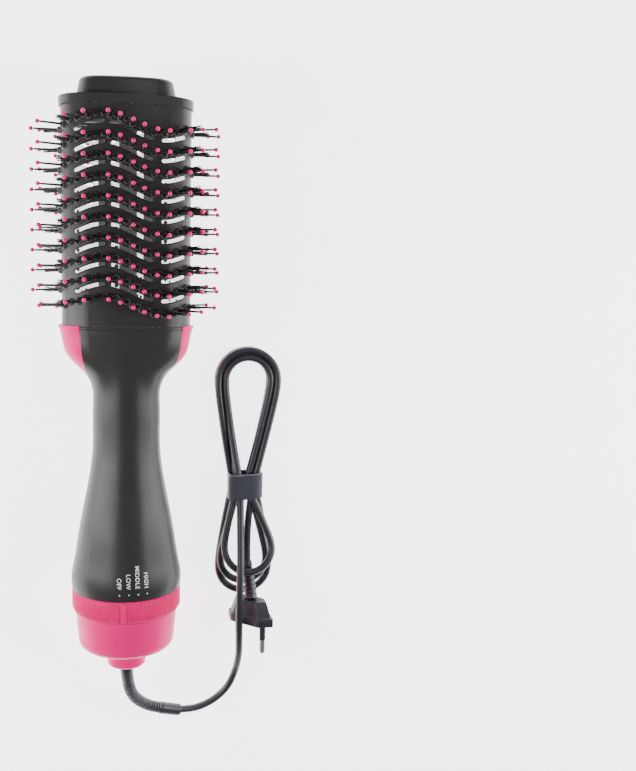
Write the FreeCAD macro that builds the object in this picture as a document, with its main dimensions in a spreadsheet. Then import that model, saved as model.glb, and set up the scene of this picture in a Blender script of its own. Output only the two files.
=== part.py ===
"""Hot air brush: an oval barrel with wavy rows of pins and tufts, a round handle with a fan and a
heater inside, a selector ring, and a cord tied in a hank with its plug.

The brush lies level on its rear pins. X runs across the oval, Y along the brush towards the tip
cap and Z up. The origin is under the middle of the brush, on the surface it lies on. Brush pieces
are drawn in a frame of their own: z is the station, measured from the tip towards the tail, and
y points out of the front face. One placement, LYING, lays that frame down.
"""

import FreeCAD
import Part
import Sketcher
import math
import os
from FreeCAD import Placement, Rotation, Vector

doc = FreeCAD.newDocument("hot_air_brush")
sheet = doc.addObject("Spreadsheet::Sheet", "sizes")

SIZES = [
    # overall
    ("length", 345.0, "tip face to the collar's end"),
    ("barrel_wide", 37.0, "half width of the barrel's oval"),
    ("barrel_deep", 20.0, "half depth of the barrel's oval"),
    ("face_turn", 8.15, "degrees of arc in half of the flat front face"),
    ("wall", 2.0, "wall of the barrel shells"),
    ("seam_roll", 10.0, "degrees the parting plane is rolled about the brush"),
    ("seam_gap", 0.1, "gap between two half shells"),
    # stations from the tip
    ("rim_front", 11.0, "rim flange, tip side"),
    ("rim_back", 16.0, "rim flange, barrel side"),
    ("joint", 138.5, "barrel to handle"),
    ("handle_end", 295.0, "end of the grip"),
    ("ring_front", 295.3, "selector ring"),
    ("ring_back", 308.7, "selector ring"),
    ("cup_front", 309.0, "tail cup's mouth"),
    ("cup_shoulder", 328.0, "where the tail cup turns in"),
    ("cup_end", 337.8, "tail cup's end face"),
    # pins and tufts
    ("row_first", 27.1, "middle of the first pin row"),
    ("row_pitch", 11.1, "between rows"),
    ("row_wave", 4.7, "half height of the wave"),
    ("wave_half", 32.0, "crest to trough across the barrel"),
    ("wave_left", 45.0, "the same, left of the crest, for the pins"),
    ("wave_middle", 4.0, "where the wave crosses its middle"),
    ("pin_reach", 16.0, "skin to the ball's centre"),
    ("pin_radius", 0.6, "pin"),
    ("ball_radius", 1.25, "ball on a pin's end"),
    ("pin_hole", 0.8, "radius of a pin's hole"),
    ("strip_wide", 3.2, "band that joins a row of pins"),
    ("strip_thick", 1.0, "the same band"),
    ("side_first", 29.0, "first side pin"),
    ("side_pitch", 11.2, "between side pins"),
    ("side_turn", 85.0, "degrees from the front to the left side column"),
    ("tuft_reach", 10.5, "skin to a tuft's end"),
    ("tuft_root", 1.1, "radius of a tuft's root"),
    ("tuft_end", 1.9, "radius of a tuft's end"),
    ("tuft_hole", 1.4, "radius of a tuft's hole"),
    ("tuft_lift", 1.0, "tufts stand this much nearer the tip than the pins"),
    # slots
    ("slot_first", 30.4, "middle of the first slot row"),
    ("slot_wide", 2.8, "slot"),
    # handle
    ("grip_wall", 2.2, "wall of the handle shells"),
    ("neck_radius", 19.65, "neck"),
    ("grip_radius", 32.0, "grip where it meets the ring"),
    ("spigot_radius", 29.0, "the ring turns on this"),
    ("spigot_wall", 2.2, "wall of the spigot"),
    ("spigot_end", 312.0, "end of the spigot, inside the tail cup"),
    ("ring_bore", 29.06, "ring's bore: a running fit on the spigot"),
    ("ring_radius", 32.3, "ring"),
    ("pointer_wide", 5.0, "raised pointer on the ring"),
    ("pointer_radius", 33.0, "raised pointer on the ring"),
    # tail
    ("cup_radius", 30.2, "tail cup's mouth"),
    ("cup_low_radius", 28.5, "tail cup at its shoulder"),
    ("collar_radius", 11.5, "collar"),
    ("collar_end_radius", 10.2, "collar's end"),
    ("collar_front", 337.5, "collar, inner end"),
    ("collar_turn", 343.6, "where the collar starts to taper"),
    ("relief_radius", 3.9, "strain relief"),
    ("relief_bore", 4.0, "collar's bore"),
    # air mover
    ("mica_radius", 15.6, "mica sleeve, outside"),
    ("mica_bore", 15.0, "mica sleeve, inside"),
    ("mica_front", 141.0, "mica sleeve"),
    ("mica_back", 196.0, "mica sleeve"),
    ("board_thick", 0.8, "mica board"),
    ("coil_radius", 12.0, "heating wire's winding"),
    ("coil_wire", 0.45, "radius of the heating wire"),
    ("coil_pitch", 5.0, "between turns"),
    ("coil_front", 147.0, "first turn"),
    ("coil_height", 40.0, "winding"),
    ("motor_radius", 13.0, "motor can"),
    ("motor_front", 232.0, "motor can"),
    ("motor_back", 262.0, "motor can"),
    ("shaft_radius", 1.5, "motor shaft"),
    ("shaft_bore", 1.55, "bearing in the motor can"),
    ("fan_radius", 24.0, "impeller"),
    ("fan_front", 268.0, "impeller"),
    ("fan_back", 280.0, "impeller"),
    ("duct_bore", 24.8, "fan duct"),
    # cord
    ("cord_radius", 2.3, "cord"),
    ("hank_thick", 11.4, "hank"),
    ("tie_thick", 1.1, "hook-and-loop strap"),
    ("plug_roll", 42.0, "degrees the plug lies rolled"),
    ("plug_pin_radius", 2.0, "plug pin"),
    ("plug_pin_long", 19.0, "plug pin"),
    ("plug_pin_apart", 19.0, "between plug pins"),
]

for row, (name, value, note) in enumerate(SIZES, start=1):
    sheet.set("A%d" % row, name)
    sheet.set("B%d" % row, str(value))
    sheet.set("C%d" % row, note)
    sheet.setAlias("B%d" % row, name)
doc.recompute()


def size(name):
    """A driving size, read back from the sheet."""
    return float(sheet.get(name))


AXIS_UP = size("barrel_deep") + size("pin_reach") + size("ball_radius")
HALF = size("length") / 2
LYING = Placement(Vector(0, HALF, AXIS_UP), Rotation(Vector(1, 0, 0), 90))
STANDING = Placement()
ROWS = 10
SIDE_PINS = 9
parts = []


# ---------------------------------------------------------------- helpers


def keep(piece, label, placement=LYING):
    """Names a finished sub-part and lays it in its place."""
    piece.Label = label
    piece.Placement = placement
    parts.append(piece)
    return piece


def feature(label, shape, placement=LYING):
    """A sub-part whose shape no primitive or sketch gives: lofts, wave bands and swept cords."""
    piece = doc.addObject("Part::Feature", label)
    piece.Shape = shape
    return keep(piece, label, placement * shape.Placement)


def primitive(kind, name, at=(0, 0, 0), turn=None, **cells):
    """A Part primitive with its sizes bound to the sheet."""
    piece = doc.addObject("Part::" + kind, name)
    for field, formula in cells.items():
        piece.setExpression(field, formula)
    piece.Placement = Placement(Vector(*at), turn or Rotation())
    return piece


def cut(name, base, tool):
    piece = doc.addObject("Part::Cut", name)
    piece.Base = base
    piece.Tool = tool
    return piece


def fuse(name, pieces):
    piece = doc.addObject("Part::MultiFuse", name)
    piece.Shapes = pieces
    return piece


def plane_of(body, role):
    return [f for f in body.Origin.OriginFeatures if f.Role == role][0]


def outline(body, name, points):
    """A closed sketch on the body's XZ plane: each point is a pair of formulas, radius and station."""
    sketch = body.newObject("Sketcher::SketchObject", name)
    sketch.AttachmentSupport = (plane_of(body, "XZ_Plane"), "")
    sketch.MapMode = "FlatFace"
    probe = doc.addObject("Part::Vertex", name + "_probe")
    places = []
    for across, along in points:
        probe.setExpression("X", across)
        probe.setExpression("Y", along)
        probe.recompute()
        places.append(Vector(probe.X.Value, probe.Y.Value, 0))
    doc.removeObject(probe.Name)
    count = len(points)
    for i in range(count):
        sketch.addGeometry(Part.LineSegment(places[i], places[(i + 1) % count]), False)
    for i in range(count):
        sketch.addConstraint(Sketcher.Constraint("Coincident", i, 2, (i + 1) % count, 1))
    for i, (across, along) in enumerate(points):
        for kind, formula, value in (("DistanceX", across, places[i].x), ("DistanceY", along, places[i].y)):
            index = sketch.addConstraint(Sketcher.Constraint(kind, -1, 1, i, 1, value))
            sketch.setExpression("Constraints[%d]" % index, formula)
    return sketch


def turned(label, points, placement=LYING, last=True):
    """A PartDesign body turned about the brush's axis from an outline of radius and station."""
    body = doc.addObject("PartDesign::Body", label)
    sketch = outline(body, label + "_outline", points)
    turn = body.newObject("PartDesign::Revolution", label + "_turn")
    turn.Profile = sketch
    turn.ReferenceAxis = (sketch, ["V_Axis"])
    turn.Angle = 360
    doc.recompute()
    if last:
        keep(body, label, placement)
    return body


def oval(wide, deep, turn, inset=0.0):
    """An oval of four arcs in the XY plane; turn is half the front arc, in degrees."""
    t = math.radians(turn)
    apart = (wide - deep) / (math.sin(t) + math.cos(t) - 1)
    side = wide - apart * math.sin(t) - inset
    front = side + apart
    wide = wide - inset
    deep = deep - inset
    corner = Vector(front * math.sin(t), deep - front + front * math.cos(t), 0)
    half_way = Vector(wide, 0, 0)
    low = Vector(corner.x, -corner.y, 0)
    edges = [
        Part.Arc(Vector(-corner.x, corner.y, 0), Vector(0, deep, 0), corner).toShape(),
        Part.Arc(corner, half_way, low).toShape(),
        Part.Arc(low, Vector(0, -deep, 0), Vector(-corner.x, -corner.y, 0)).toShape(),
        Part.Arc(Vector(-corner.x, -corner.y, 0), -half_way, Vector(-corner.x, corner.y, 0)).toShape(),
    ]
    return Part.Wire(edges)


def barrel_oval(inset=0.0):
    return oval(size("barrel_wide"), size("barrel_deep"), size("face_turn"), inset)


def prism(wire, start, end):
    """A wire in the XY plane drawn out from one station to another."""
    face = Part.Face(wire)
    face.translate(Vector(0, 0, start))
    return face.extrude(Vector(0, 0, end - start))


def loft(sections):
    """A smooth solid through (wire, station) pairs."""
    wires = []
    for wire, station in sections:
        moved = wire.copy()
        moved.translate(Vector(0, 0, station))
        wires.append(moved)
    return Part.makeLoft(wires, True, False)


def skin(arc):
    """The barrel's skin at an arc length from the front's middle: its point and outward normal."""
    t = math.radians(size("face_turn"))
    wide = size("barrel_wide")
    deep = size("barrel_deep")
    apart = (wide - deep) / (math.sin(t) + math.cos(t) - 1)
    side = wide - apart * math.sin(t)
    front = side + apart
    reach = abs(arc)
    if reach < front * t:
        angle = reach / front
        point = Vector(front * math.sin(angle), deep - front + front * math.cos(angle), 0)
    else:
        angle = t + (reach - front * t) / side
        point = Vector(wide - side + side * math.sin(angle), side * math.cos(angle), 0)
    normal = Vector(math.sin(angle), math.cos(angle), 0)
    if arc < 0:
        point.x = -point.x
        normal.x = -normal.x
    return point, normal


def arc_at(turn):
    """The arc length at which the skin faces the given angle from the front, in degrees."""
    t = math.radians(size("face_turn"))
    wide = size("barrel_wide")
    apart = (wide - size("barrel_deep")) / (math.sin(t) + math.cos(t) - 1)
    side = wide - apart * math.sin(t)
    return (side + apart) * t + side * (math.radians(turn) - t)


def wave(across, left_half=None):
    """How far towards the tail a row lies from its middle, at a place across the barrel."""
    half = size("wave_half")
    crest = size("wave_middle") - half / 2
    if left_half and across < crest:
        return -size("row_wave") * math.cos(math.pi * (across - crest) / left_half)
    return size("row_wave") * math.sin(math.pi * (across - size("wave_middle")) / half)


def wave_band(start, end, width, station, left_half=None, rounded=True):
    """A face in the XZ plane that follows the wave from start to end, with round ends."""
    steps = max(3, int((end - start) / 4))
    upper = []
    lower = []
    for i in range(steps + 1):
        across = start + (end - start) * i / steps
        slope = (wave(across + 0.01, left_half) - wave(across - 0.01, left_half)) / 0.02
        away = Vector(-slope, 0, 1).normalize() * (width / 2)
        middle = Vector(across, 0, station + wave(across, left_half))
        upper.append(middle - away)
        lower.append(middle + away)
    one = Part.BSplineCurve()
    one.interpolate(upper)
    two = Part.BSplineCurve()
    two.interpolate(lower)
    ends = []
    for first, second, out in ((upper[-1], lower[-1], 1), (lower[0], upper[0], -1)):
        if rounded:
            tip = (first + second) / 2 + Vector(out * width / 2, 0, 0)
            ends.append(Part.Arc(first, tip, second).toShape())
        else:
            ends.append(Part.LineSegment(first, second).toShape())
    return Part.Face(Part.Wire([one.toShape(), ends[0], two.toShape(), ends[1]]))


def rod(point, normal, station, low, high, radius, end_radius=None):
    """A rod or cone along the skin's normal, from depth low to height high."""
    foot = point + normal * low + Vector(0, 0, station)
    if end_radius is None:
        return Part.makeCylinder(radius, high - low, foot, normal)
    return Part.makeCone(radius, end_radius, high - low, foot, normal)


def front_half(gap):
    """The space in front of the parting plane, which is rolled about the brush's axis."""
    reach = 200.0
    box = Part.makeBox(2 * reach, reach, 2 * size("length"), Vector(-reach, gap / 2, -reach))
    box.rotate(Vector(0, 0, 0), Vector(0, 0, 1), -size("seam_roll"))
    return box


def smooth_path(points):
    """Straight runs joined by tangent arcs, as large as the runs allow. Returns wire, length, radii."""
    points = [Vector(*p) for p in points]
    edges = []
    radii = []
    here = points[0]
    for before, corner, after in zip(points, points[1:], points[2:]):
        to = (corner - before).normalize()
        on = (after - corner).normalize()
        half = to.getAngle(on) / 2
        back = 0.45 * min((corner - before).Length, (after - corner).Length)
        radius = back / math.tan(half)
        radii.append(radius)
        start = corner - to * back
        end = corner + on * back
        inward = (on - to).normalize()
        middle = corner + inward * (radius / math.cos(half) - radius)
        edges.append(Part.LineSegment(here, start).toShape())
        edges.append(Part.Arc(start, middle, end).toShape())
        here = end
    edges.append(Part.LineSegment(here, points[-1]).toShape())
    wire = Part.Wire(edges)
    return wire, wire.Length, radii


def pipe(points, radius):
    """A round section swept along straight runs and arcs. Returns shape, length and radii."""
    wire, length, radii = smooth_path(points)
    start = Vector(*points[0])
    heading = (Vector(*points[1]) - start).normalize()
    circle = Part.Wire(Part.makeCircle(radius, start, heading))
    return wire.makePipeShell([circle], True, False), length, radii


# ---------------------------------------------------------------- barrel

# Arc lengths across the front face at which a row has its pins and its tufts.
PIN_ARCS = [-37.6, -26.5, -20.6, -8.7, -2.9, 3.3, 8.7, 15.0, 21.0, 27.4, 32.2, 39.8]
TUFT_ARCS = [-32.0, -23.5, -17.0, -12.2, -5.8, 0.2, 6.0, 12.0, 18.0, 24.2, 29.8, 36.0]
# Each slot row is three slots with a rib between.
SLOT_SPANS = [(-27.6, -13.0), (-8.0, 13.6), (20.4, 31.8)]
PIN_WAVE = size("wave_left")
# The right side column's tufts face this far from the front, in degrees.
SIDE_TUFT_TURN = 82.0


def make_tip_cap():
    """Rim flange, raised tapered plug and a lip inside the barrel, all hollow."""
    wide = 28.4
    deep = 15.0
    rim = prism(barrel_oval(-1.1), size("rim_front"), size("rim_back"))
    plug = loft([(oval(wide, deep, 9), size("rim_front")), (oval(wide - 2.2, deep - 1.6, 9), 0.0)])
    edges = [e for e in plug.Edges if e.BoundBox.ZMax < 0.01]
    plug = plug.makeFillet(2.6, edges)
    back = size("rim_back")
    lip = prism(barrel_oval(size("wall") + 0.1), back, back + 4)
    hollow = prism(oval(wide - 3, deep - 3, 9), 2.6, back + 4)
    mouth = prism(barrel_oval(size("wall") + 2.0), back, back + 4)
    cap = rim.fuse([plug, lip]).cut(hollow).cut(mouth).removeSplitter()
    feature("tip_cap", cap)


def row_station(row):
    return size("row_first") + row * size("row_pitch")


def side_station(i):
    return size("side_first") + i * size("side_pitch")


def side_skin():
    """Where the right side column stands; half a turn takes it to the left one."""
    return skin(arc_at(180 - size("side_turn")))


def make_barrel_shells():
    """One half shell with slots, pin holes and tuft holes. Half a turn gives the other."""
    front = size("rim_back") + 0.1
    back = size("joint") - 0.1
    tube = prism(barrel_oval(), front, back).cut(prism(barrel_oval(size("wall")), front - 1, back + 1))
    shell = tube.common(front_half(size("seam_gap")))
    slots = []
    for row in range(ROWS - 1):
        station = size("slot_first") + row * size("row_pitch")
        for start, end in SLOT_SPANS:
            band = wave_band(start, end, size("slot_wide"), station)
            slots.append(band.extrude(Vector(0, 2 * size("barrel_deep"), 0)))
    holes = []
    for row in range(ROWS):
        for arcs, radius, lift in (
            (PIN_ARCS, size("pin_hole"), 0.0),
            (TUFT_ARCS, size("tuft_hole"), size("tuft_lift")),
        ):
            for arc in arcs:
                point, normal = skin(arc)
                station = row_station(row) + wave(point.x, PIN_WAVE) - lift
                holes.append(rod(point, normal, station, -4, 3, radius))
    for place, radius in ((side_skin(), size("pin_hole")), (skin(arc_at(SIDE_TUFT_TURN)), size("tuft_hole"))):
        for i in range(SIDE_PINS):
            holes.append(rod(place[0], place[1], side_station(i), -4, 3, radius))
    shell = shell.cut(slots).cut(holes)
    feature("barrel_front_shell", shell)
    other = shell.copy()
    other.rotate(Vector(0, 0, 0), Vector(0, 0, 1), 180)
    feature("barrel_rear_shell", other)


def pin(point, normal, station):
    """A pin from the band inside the shell to the ball on its end."""
    low = -size("wall") - size("strip_thick")
    shank = rod(point, normal, station, low, size("pin_reach"), size("pin_radius"))
    ball = Part.makeSphere(size("ball_radius"), point + normal * size("pin_reach") + Vector(0, 0, station))
    return shank.fuse(ball)


def make_pins():
    """Each row is one moulded comb: a band inside the shell that carries its pins."""
    wall = size("wall") + 0.1
    thick = size("strip_thick")
    comb_room = prism(barrel_oval(wall), -20, 20).cut(prism(barrel_oval(wall + thick), -21, 21))
    band = wave_band(-31.5, 31.5, size("strip_wide"), 0, PIN_WAVE).extrude(Vector(0, 30, 0))
    comb = comb_room.common(band)
    pins = []
    for arc in PIN_ARCS:
        point, normal = skin(arc)
        pins.append(pin(point, normal, wave(point.x, PIN_WAVE)))
    comb = comb.fuse(pins).removeSplitter()
    front = []
    rear = []
    for row in range(ROWS):
        one = comb.copy()
        one.translate(Vector(0, 0, row_station(row)))
        front.append(one.Solids[0])
        other = one.copy()
        other.rotate(Vector(0, 0, 0), Vector(0, 0, 1), 180)
        rear.append(other.Solids[0])
    feature("front_pins", Part.makeCompound(front))
    feature("rear_pins", Part.makeCompound(rear))

    point, normal = side_skin()
    long = (SIDE_PINS - 1) * size("side_pitch") + 6
    strip = Part.makeBox(thick, size("strip_wide"), long, Vector(-thick, -size("strip_wide") / 2, 0))
    strip.rotate(Vector(0, 0, 0), Vector(0, 0, 1), math.degrees(math.atan2(normal.y, normal.x)))
    strip.translate(point - normal * (wall + 0.15) + Vector(0, 0, side_station(0) - 3))
    pins = [pin(point, normal, side_station(i)) for i in range(SIDE_PINS)]
    side = strip.fuse(pins).removeSplitter()
    feature("right_side_pins", side)
    other = side.copy()
    other.rotate(Vector(0, 0, 0), Vector(0, 0, 1), 180)
    feature("left_side_pins", other)


def make_tufts():
    """Nylon tufts between the pins: solid cones of their outer shape."""

    def tuft(arc, station):
        point, normal = skin(arc)
        low = 0.1 - size("wall")
        return rod(point, normal, station, low, size("tuft_reach"), size("tuft_root"), size("tuft_end"))

    front = []
    for row in range(ROWS):
        for arc in TUFT_ARCS:
            station = row_station(row) + wave(skin(arc)[0].x, PIN_WAVE) - size("tuft_lift")
            front.append(tuft(arc, station))
    for i in range(SIDE_PINS):
        front.append(tuft(arc_at(SIDE_TUFT_TURN), side_station(i)))
    front = Part.makeCompound(front)
    feature("front_tufts", front)
    rear = front.copy()
    rear.rotate(Vector(0, 0, 0), Vector(0, 0, 1), 180)
    feature("rear_tufts", rear)


def make_air_guide():
    """Ladder inside the barrel: three bars on end frames that steer the air out of the slots."""
    front = size("rim_back") + 6
    back = size("joint") - 6
    bars = []
    for left, right, deep in ((-16.0, -8.6, 1.5), (-4.2, 6.0, 4.5), (9.6, 16.4, 1.5)):
        bars.append(Part.makeBox(right - left, 2 * deep, back - front, Vector(left, -deep, front)))
    for station in (front, back - 4):
        frame = prism(barrel_oval(size("wall") + 1.6), station, station + 4)
        window = prism(barrel_oval(size("wall") + 6.0), station - 1, station + 5)
        cross = Part.makeBox(62, 3, 4, Vector(-31, -1.5, station))
        bars.append(frame.cut(window).fuse(cross))
    guide = bars[0].fuse(bars[1:]).removeSplitter()
    feature("air_guide", guide)


def make_joint_ring():
    """Oval ring that holds the barrel shells and the handle shells together."""
    inset = size("wall") + 0.4
    joint = size("joint")
    ring = prism(barrel_oval(inset), joint - 4.4, joint + 7)
    ring = ring.cut(prism(barrel_oval(inset + 1.4), joint - 6, joint + 8))
    feature("joint_ring", ring)


# ---------------------------------------------------------------- handle

# Station, half width, half depth and face turn of the handle's sections.
GRIP = [
    (size("joint"), 37.2, 20.2, 8.15),
    (146.0, 37.0, 20.2, 8.15),
    (153.0, 35.6, 20.1, 9.0),
    (160.0, 30.9, 20.0, 14.0),
    (167.0, 23.8, 19.9, 24.0),
    (174.5, 20.1, 19.75, 38.0),
    (188.0, 19.7, 19.65, 45.0),
    (204.0, 19.68, 19.65, 45.0),
    (218.0, 20.52, 20.5, 45.0),
    (239.0, 24.02, 24.0, 45.0),
    (261.5, 28.22, 28.2, 45.0),
    (277.0, 30.72, 30.7, 45.0),
    (size("handle_end"), 32.02, 32.0, 45.0),
]
# Edge of a shoulder trim: station and distance from the brush's axis.
TRIM_EDGE = [(136.0, 28.6), (148.0, 28.2), (158.0, 26.8), (166.0, 24.0), (176.5, 19.0)]


# Handle screws, in from the back: place across, station, and how deep the skin lies there.
SCREWS = [(-22.0, 150.0, 18.3), (22.0, 150.0, 18.3), (0.0, 288.0, 31.4)]
HEAD_SEAT = 1.3
BACK_TO_FRONT = Vector(0, 1, 0)


def grip_solid(inset):
    return loft([(oval(wide, deep, turn, inset), station) for station, wide, deep, turn in GRIP])


def trim_room():
    """The space of the right shoulder trim, rolled like the parting plane."""
    points = [Vector(x, -60, z) for z, x in TRIM_EDGE]
    edge = Part.BSplineCurve()
    edge.interpolate(points)
    corners = [Vector(60, -60, 176.5), Vector(60, -60, 136.0)]
    sides = [
        Part.LineSegment(points[-1], corners[0]).toShape(),
        Part.LineSegment(corners[0], corners[1]).toShape(),
        Part.LineSegment(corners[1], points[0]).toShape(),
    ]
    room = Part.Face(Part.Wire([edge.toShape()] + sides)).extrude(Vector(0, 120, 0))
    room.rotate(Vector(0, 0, 0), Vector(0, 0, 1), -size("seam_roll"))
    return room


def make_handle():
    """Two grip shells with the spigot the ring turns on, their screws, and two shoulder trims."""
    spigot_in = size("spigot_radius") - size("spigot_wall")
    end = size("handle_end")
    outer = grip_solid(0.0)
    inner = grip_solid(size("grip_wall"))
    spigot = Part.makeCylinder(size("spigot_radius"), size("spigot_end") - end, Vector(0, 0, end))
    bore = Part.makeCylinder(spigot_in, size("spigot_end") - end + 8, Vector(0, 0, end - 4))
    web = Part.makeCylinder(size("spigot_radius") + 2.0, 2.4, Vector(0, 0, end - 2.4))
    tube = outer.cut(inner).fuse([web, spigot]).cut(bore)
    # an arc slot lets the wiper reach the switch inside the spigot
    slot = Part.makeCylinder(size("spigot_radius") + 1, 4.4, Vector(0, 0, 299.8), Vector(0, 0, 1), 44)
    slot = slot.cut(Part.makeCylinder(spigot_in - 2, 6, Vector(0, 0, 299)))
    slot.rotate(Vector(0, 0, 0), Vector(0, 0, 1), 18)
    tube = tube.cut(slot)
    right = trim_room()
    left = right.copy()
    left.rotate(Vector(0, 0, 0), Vector(0, 0, 1), 180)
    right_trim = max(tube.common(right).Solids, key=lambda solid: solid.Volume)
    left_trim = max(tube.common(left).Solids, key=lambda solid: solid.Volume)
    feature("right_shoulder_trim", right_trim)
    feature("left_shoulder_trim", left_trim)
    body = tube.cut([right_trim, left_trim])
    half = front_half(size("seam_gap"))
    front = body.common(half)
    half.rotate(Vector(0, 0, 0), Vector(0, 0, 1), 180)
    rear = body.common(half)
    screws = []
    for x, station, skin_deep in SCREWS:
        # each boss stands on the front shell and ends just short of the rear one
        low = HEAD_SEAT + 2.0 - skin_deep
        boss_long = 2 * (skin_deep - HEAD_SEAT) - 2.0
        boss = Part.makeCylinder(3.2, boss_long, Vector(x, low, station), BACK_TO_FRONT)
        boss = boss.cut(Part.makeCylinder(1.35, 9, Vector(x, low - 1, station), BACK_TO_FRONT))
        front = front.fuse(boss)
        rear = rear.cut(Part.makeCylinder(1.5, 60, Vector(x, -60, station), BACK_TO_FRONT))
        seat = Vector(x, HEAD_SEAT - skin_deep - 60, station)
        rear = rear.cut(Part.makeCylinder(2.9, 60, seat, BACK_TO_FRONT))
        head = Part.makeCylinder(2.7, 1.0, Vector(x, HEAD_SEAT - skin_deep - 1.0, station), BACK_TO_FRONT)
        shank = Part.makeCylinder(1.3, 7.6, Vector(x, HEAD_SEAT - skin_deep, station), BACK_TO_FRONT)
        screws.append(head.fuse(shank))
    feature("handle_front_shell", front.removeSplitter())
    feature("handle_rear_shell", rear.removeSplitter())
    feature("handle_screws", Part.makeCompound(screws))


# ---------------------------------------------------------------- heater


def make_heater():
    """Crossed mica boards wound with wire inside a mica sleeve, with thermostat and fuse."""
    turned(
        "mica_sleeve",
        [
            ("sizes.mica_bore", "sizes.mica_front"),
            ("sizes.mica_radius", "sizes.mica_front"),
            ("sizes.mica_radius", "sizes.mica_back"),
            ("sizes.mica_bore", "sizes.mica_back"),
        ],
    )
    thick = size("board_thick")
    front = size("mica_front") + 2
    long = size("mica_back") - front - 2
    reach = size("coil_radius") - size("coil_wire") - 0.8
    for label, wide_x, wide_y, slot_from in (
        ("heater_board_long", 2 * reach, thick, 0.0),
        ("heater_board_cross", thick, 2 * reach, 0.5),
    ):
        board = primitive("Box", label + "_plate", at=(-wide_x / 2, -wide_y / 2, front))
        board.Length = wide_x
        board.Width = wide_y
        board.Height = long
        slot = primitive("Box", label + "_slot", at=(-thick / 2 - 0.05, -thick / 2 - 0.05, front + slot_from * long))
        slot.Length = thick + 0.1
        slot.Width = thick + 0.1
        slot.Height = long / 2
        keep(cut(label, board, slot), label)
    # the wire runs straight from one board edge to the next, so a turn has four sides
    bends = []
    for i in range(int(4 * size("coil_height") / size("coil_pitch")) + 1):
        turn = math.radians(90 * i)
        along = size("coil_front") + size("coil_pitch") * i / 4
        out = size("coil_radius")
        bends.append(Vector(out * math.cos(turn), out * math.sin(turn), along))
    wire = [Part.makeSphere(size("coil_wire"), bend) for bend in bends]
    for a, b in zip(bends, bends[1:]):
        wire.append(Part.makeCylinder(size("coil_wire"), (b - a).Length, a, b - a))
    feature("heating_coil", wire[0].fuse(wire[1:]))
    can = primitive("Cylinder", "thermostat_can", at=(0, 5.5, 190.5))
    can.Radius = 4.0
    can.Height = 3.2
    keep(can, "thermostat")
    can.Placement = LYING * Placement(Vector(0, 5.5, 196.5), Rotation())
    fuse_can = primitive("Cylinder", "thermal_fuse_can")
    fuse_can.Radius = 1.6
    fuse_can.Height = 11.0
    keep(fuse_can, "thermal_fuse")
    fuse_can.Placement = LYING * Placement(Vector(-5.5, -6.5, 196.8), Rotation())


# ---------------------------------------------------------------- air mover


def make_air_mover():
    """Motor can in a vaned mount, its rotor and shaft, and the impeller in its duct."""
    turned(
        "motor_can",
        [
            ("sizes.shaft_bore", "sizes.motor_front"),
            ("sizes.motor_radius", "sizes.motor_front"),
            ("sizes.motor_radius", "sizes.motor_back"),
            ("sizes.shaft_bore", "sizes.motor_back"),
            ("sizes.shaft_bore", "sizes.motor_back - 3"),
            ("sizes.motor_radius - 1.5", "sizes.motor_back - 3"),
            ("sizes.motor_radius - 1.5", "sizes.motor_front + 3"),
            ("sizes.shaft_bore", "sizes.motor_front + 3"),
        ],
    )
    shaft = primitive("Cylinder", "shaft_rod", at=(0, 0, size("motor_front") - 2), Radius="sizes.shaft_radius")
    shaft.Height = 52.0
    core = primitive("Cylinder", "rotor_core", at=(0, 0, size("motor_front") + 5))
    core.Radius = 8.5
    core.Height = 20.0
    keep(fuse("motor_rotor", [shaft, core]), "motor_rotor")

    front = size("fan_front")
    back = size("fan_back")
    hub = Part.makeCylinder(8.0, back - front, Vector(0, 0, front))
    disc = Part.makeCone(size("fan_radius"), 14.0, 2.0, Vector(0, 0, front + 1.5))
    blades = []
    for i in range(9):
        blade = Part.makeBox(size("fan_radius") - 7.4, 1.0, back - front - 2.5, Vector(7.0, -0.5, front + 2))
        blade.rotate(Vector(7.0, 0, front), Vector(0, 0, 1), 18)
        blade.rotate(Vector(0, 0, 0), Vector(0, 0, 1), i * 40)
        blades.append(blade)
    wheel = hub.fuse([disc] + blades)
    wheel = wheel.common(Part.makeCylinder(size("fan_radius"), back - front + 2, Vector(0, 0, front - 1)))
    wheel = wheel.cut(Part.makeCylinder(size("shaft_radius"), 40, Vector(0, 0, front - 10)))
    feature("impeller", wheel.removeSplitter())

    sleeve_front = size("motor_front") + 1
    sleeve_back = size("motor_back") + 2
    motor = size("motor_radius")
    bore = size("duct_bore")
    ring_bore = bore - 1.6
    duct = Part.makeCylinder(bore + 1.1, 283.0 - sleeve_back, Vector(0, 0, sleeve_back))
    duct = duct.cut(Part.makeCylinder(bore, 30.0, Vector(0, 0, sleeve_back - 1)))
    step = Part.makeCylinder(bore + 1.1, 1.6, Vector(0, 0, sleeve_back - 1.0))
    step = step.cut(Part.makeCylinder(ring_bore, 4.0, Vector(0, 0, sleeve_back - 2)))
    sleeve = Part.makeCylinder(motor + 1.6, sleeve_back - sleeve_front, Vector(0, 0, sleeve_front))
    sleeve = sleeve.cut(Part.makeCylinder(motor + 0.05, 60, Vector(0, 0, sleeve_front - 1)))
    vanes = []
    for i in range(8):
        vane = Part.makeBox(ring_bore - motor - 0.4, 1.2, 9, Vector(motor + 0.8, -0.6, sleeve_back - 9))
        vane.rotate(Vector(0, 0, 0), Vector(0, 0, 1), i * 45 + 22.5)
        vanes.append(vane)
    ring = Part.makeCylinder(ring_bore + 1.0, 9.0, Vector(0, 0, sleeve_back - 9))
    ring = ring.cut(Part.makeCylinder(ring_bore, 12, Vector(0, 0, sleeve_back - 10)))
    mount = duct.fuse([sleeve, step, ring] + vanes).removeSplitter()
    feature("motor_mount", mount)


# ---------------------------------------------------------------- controls


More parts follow.
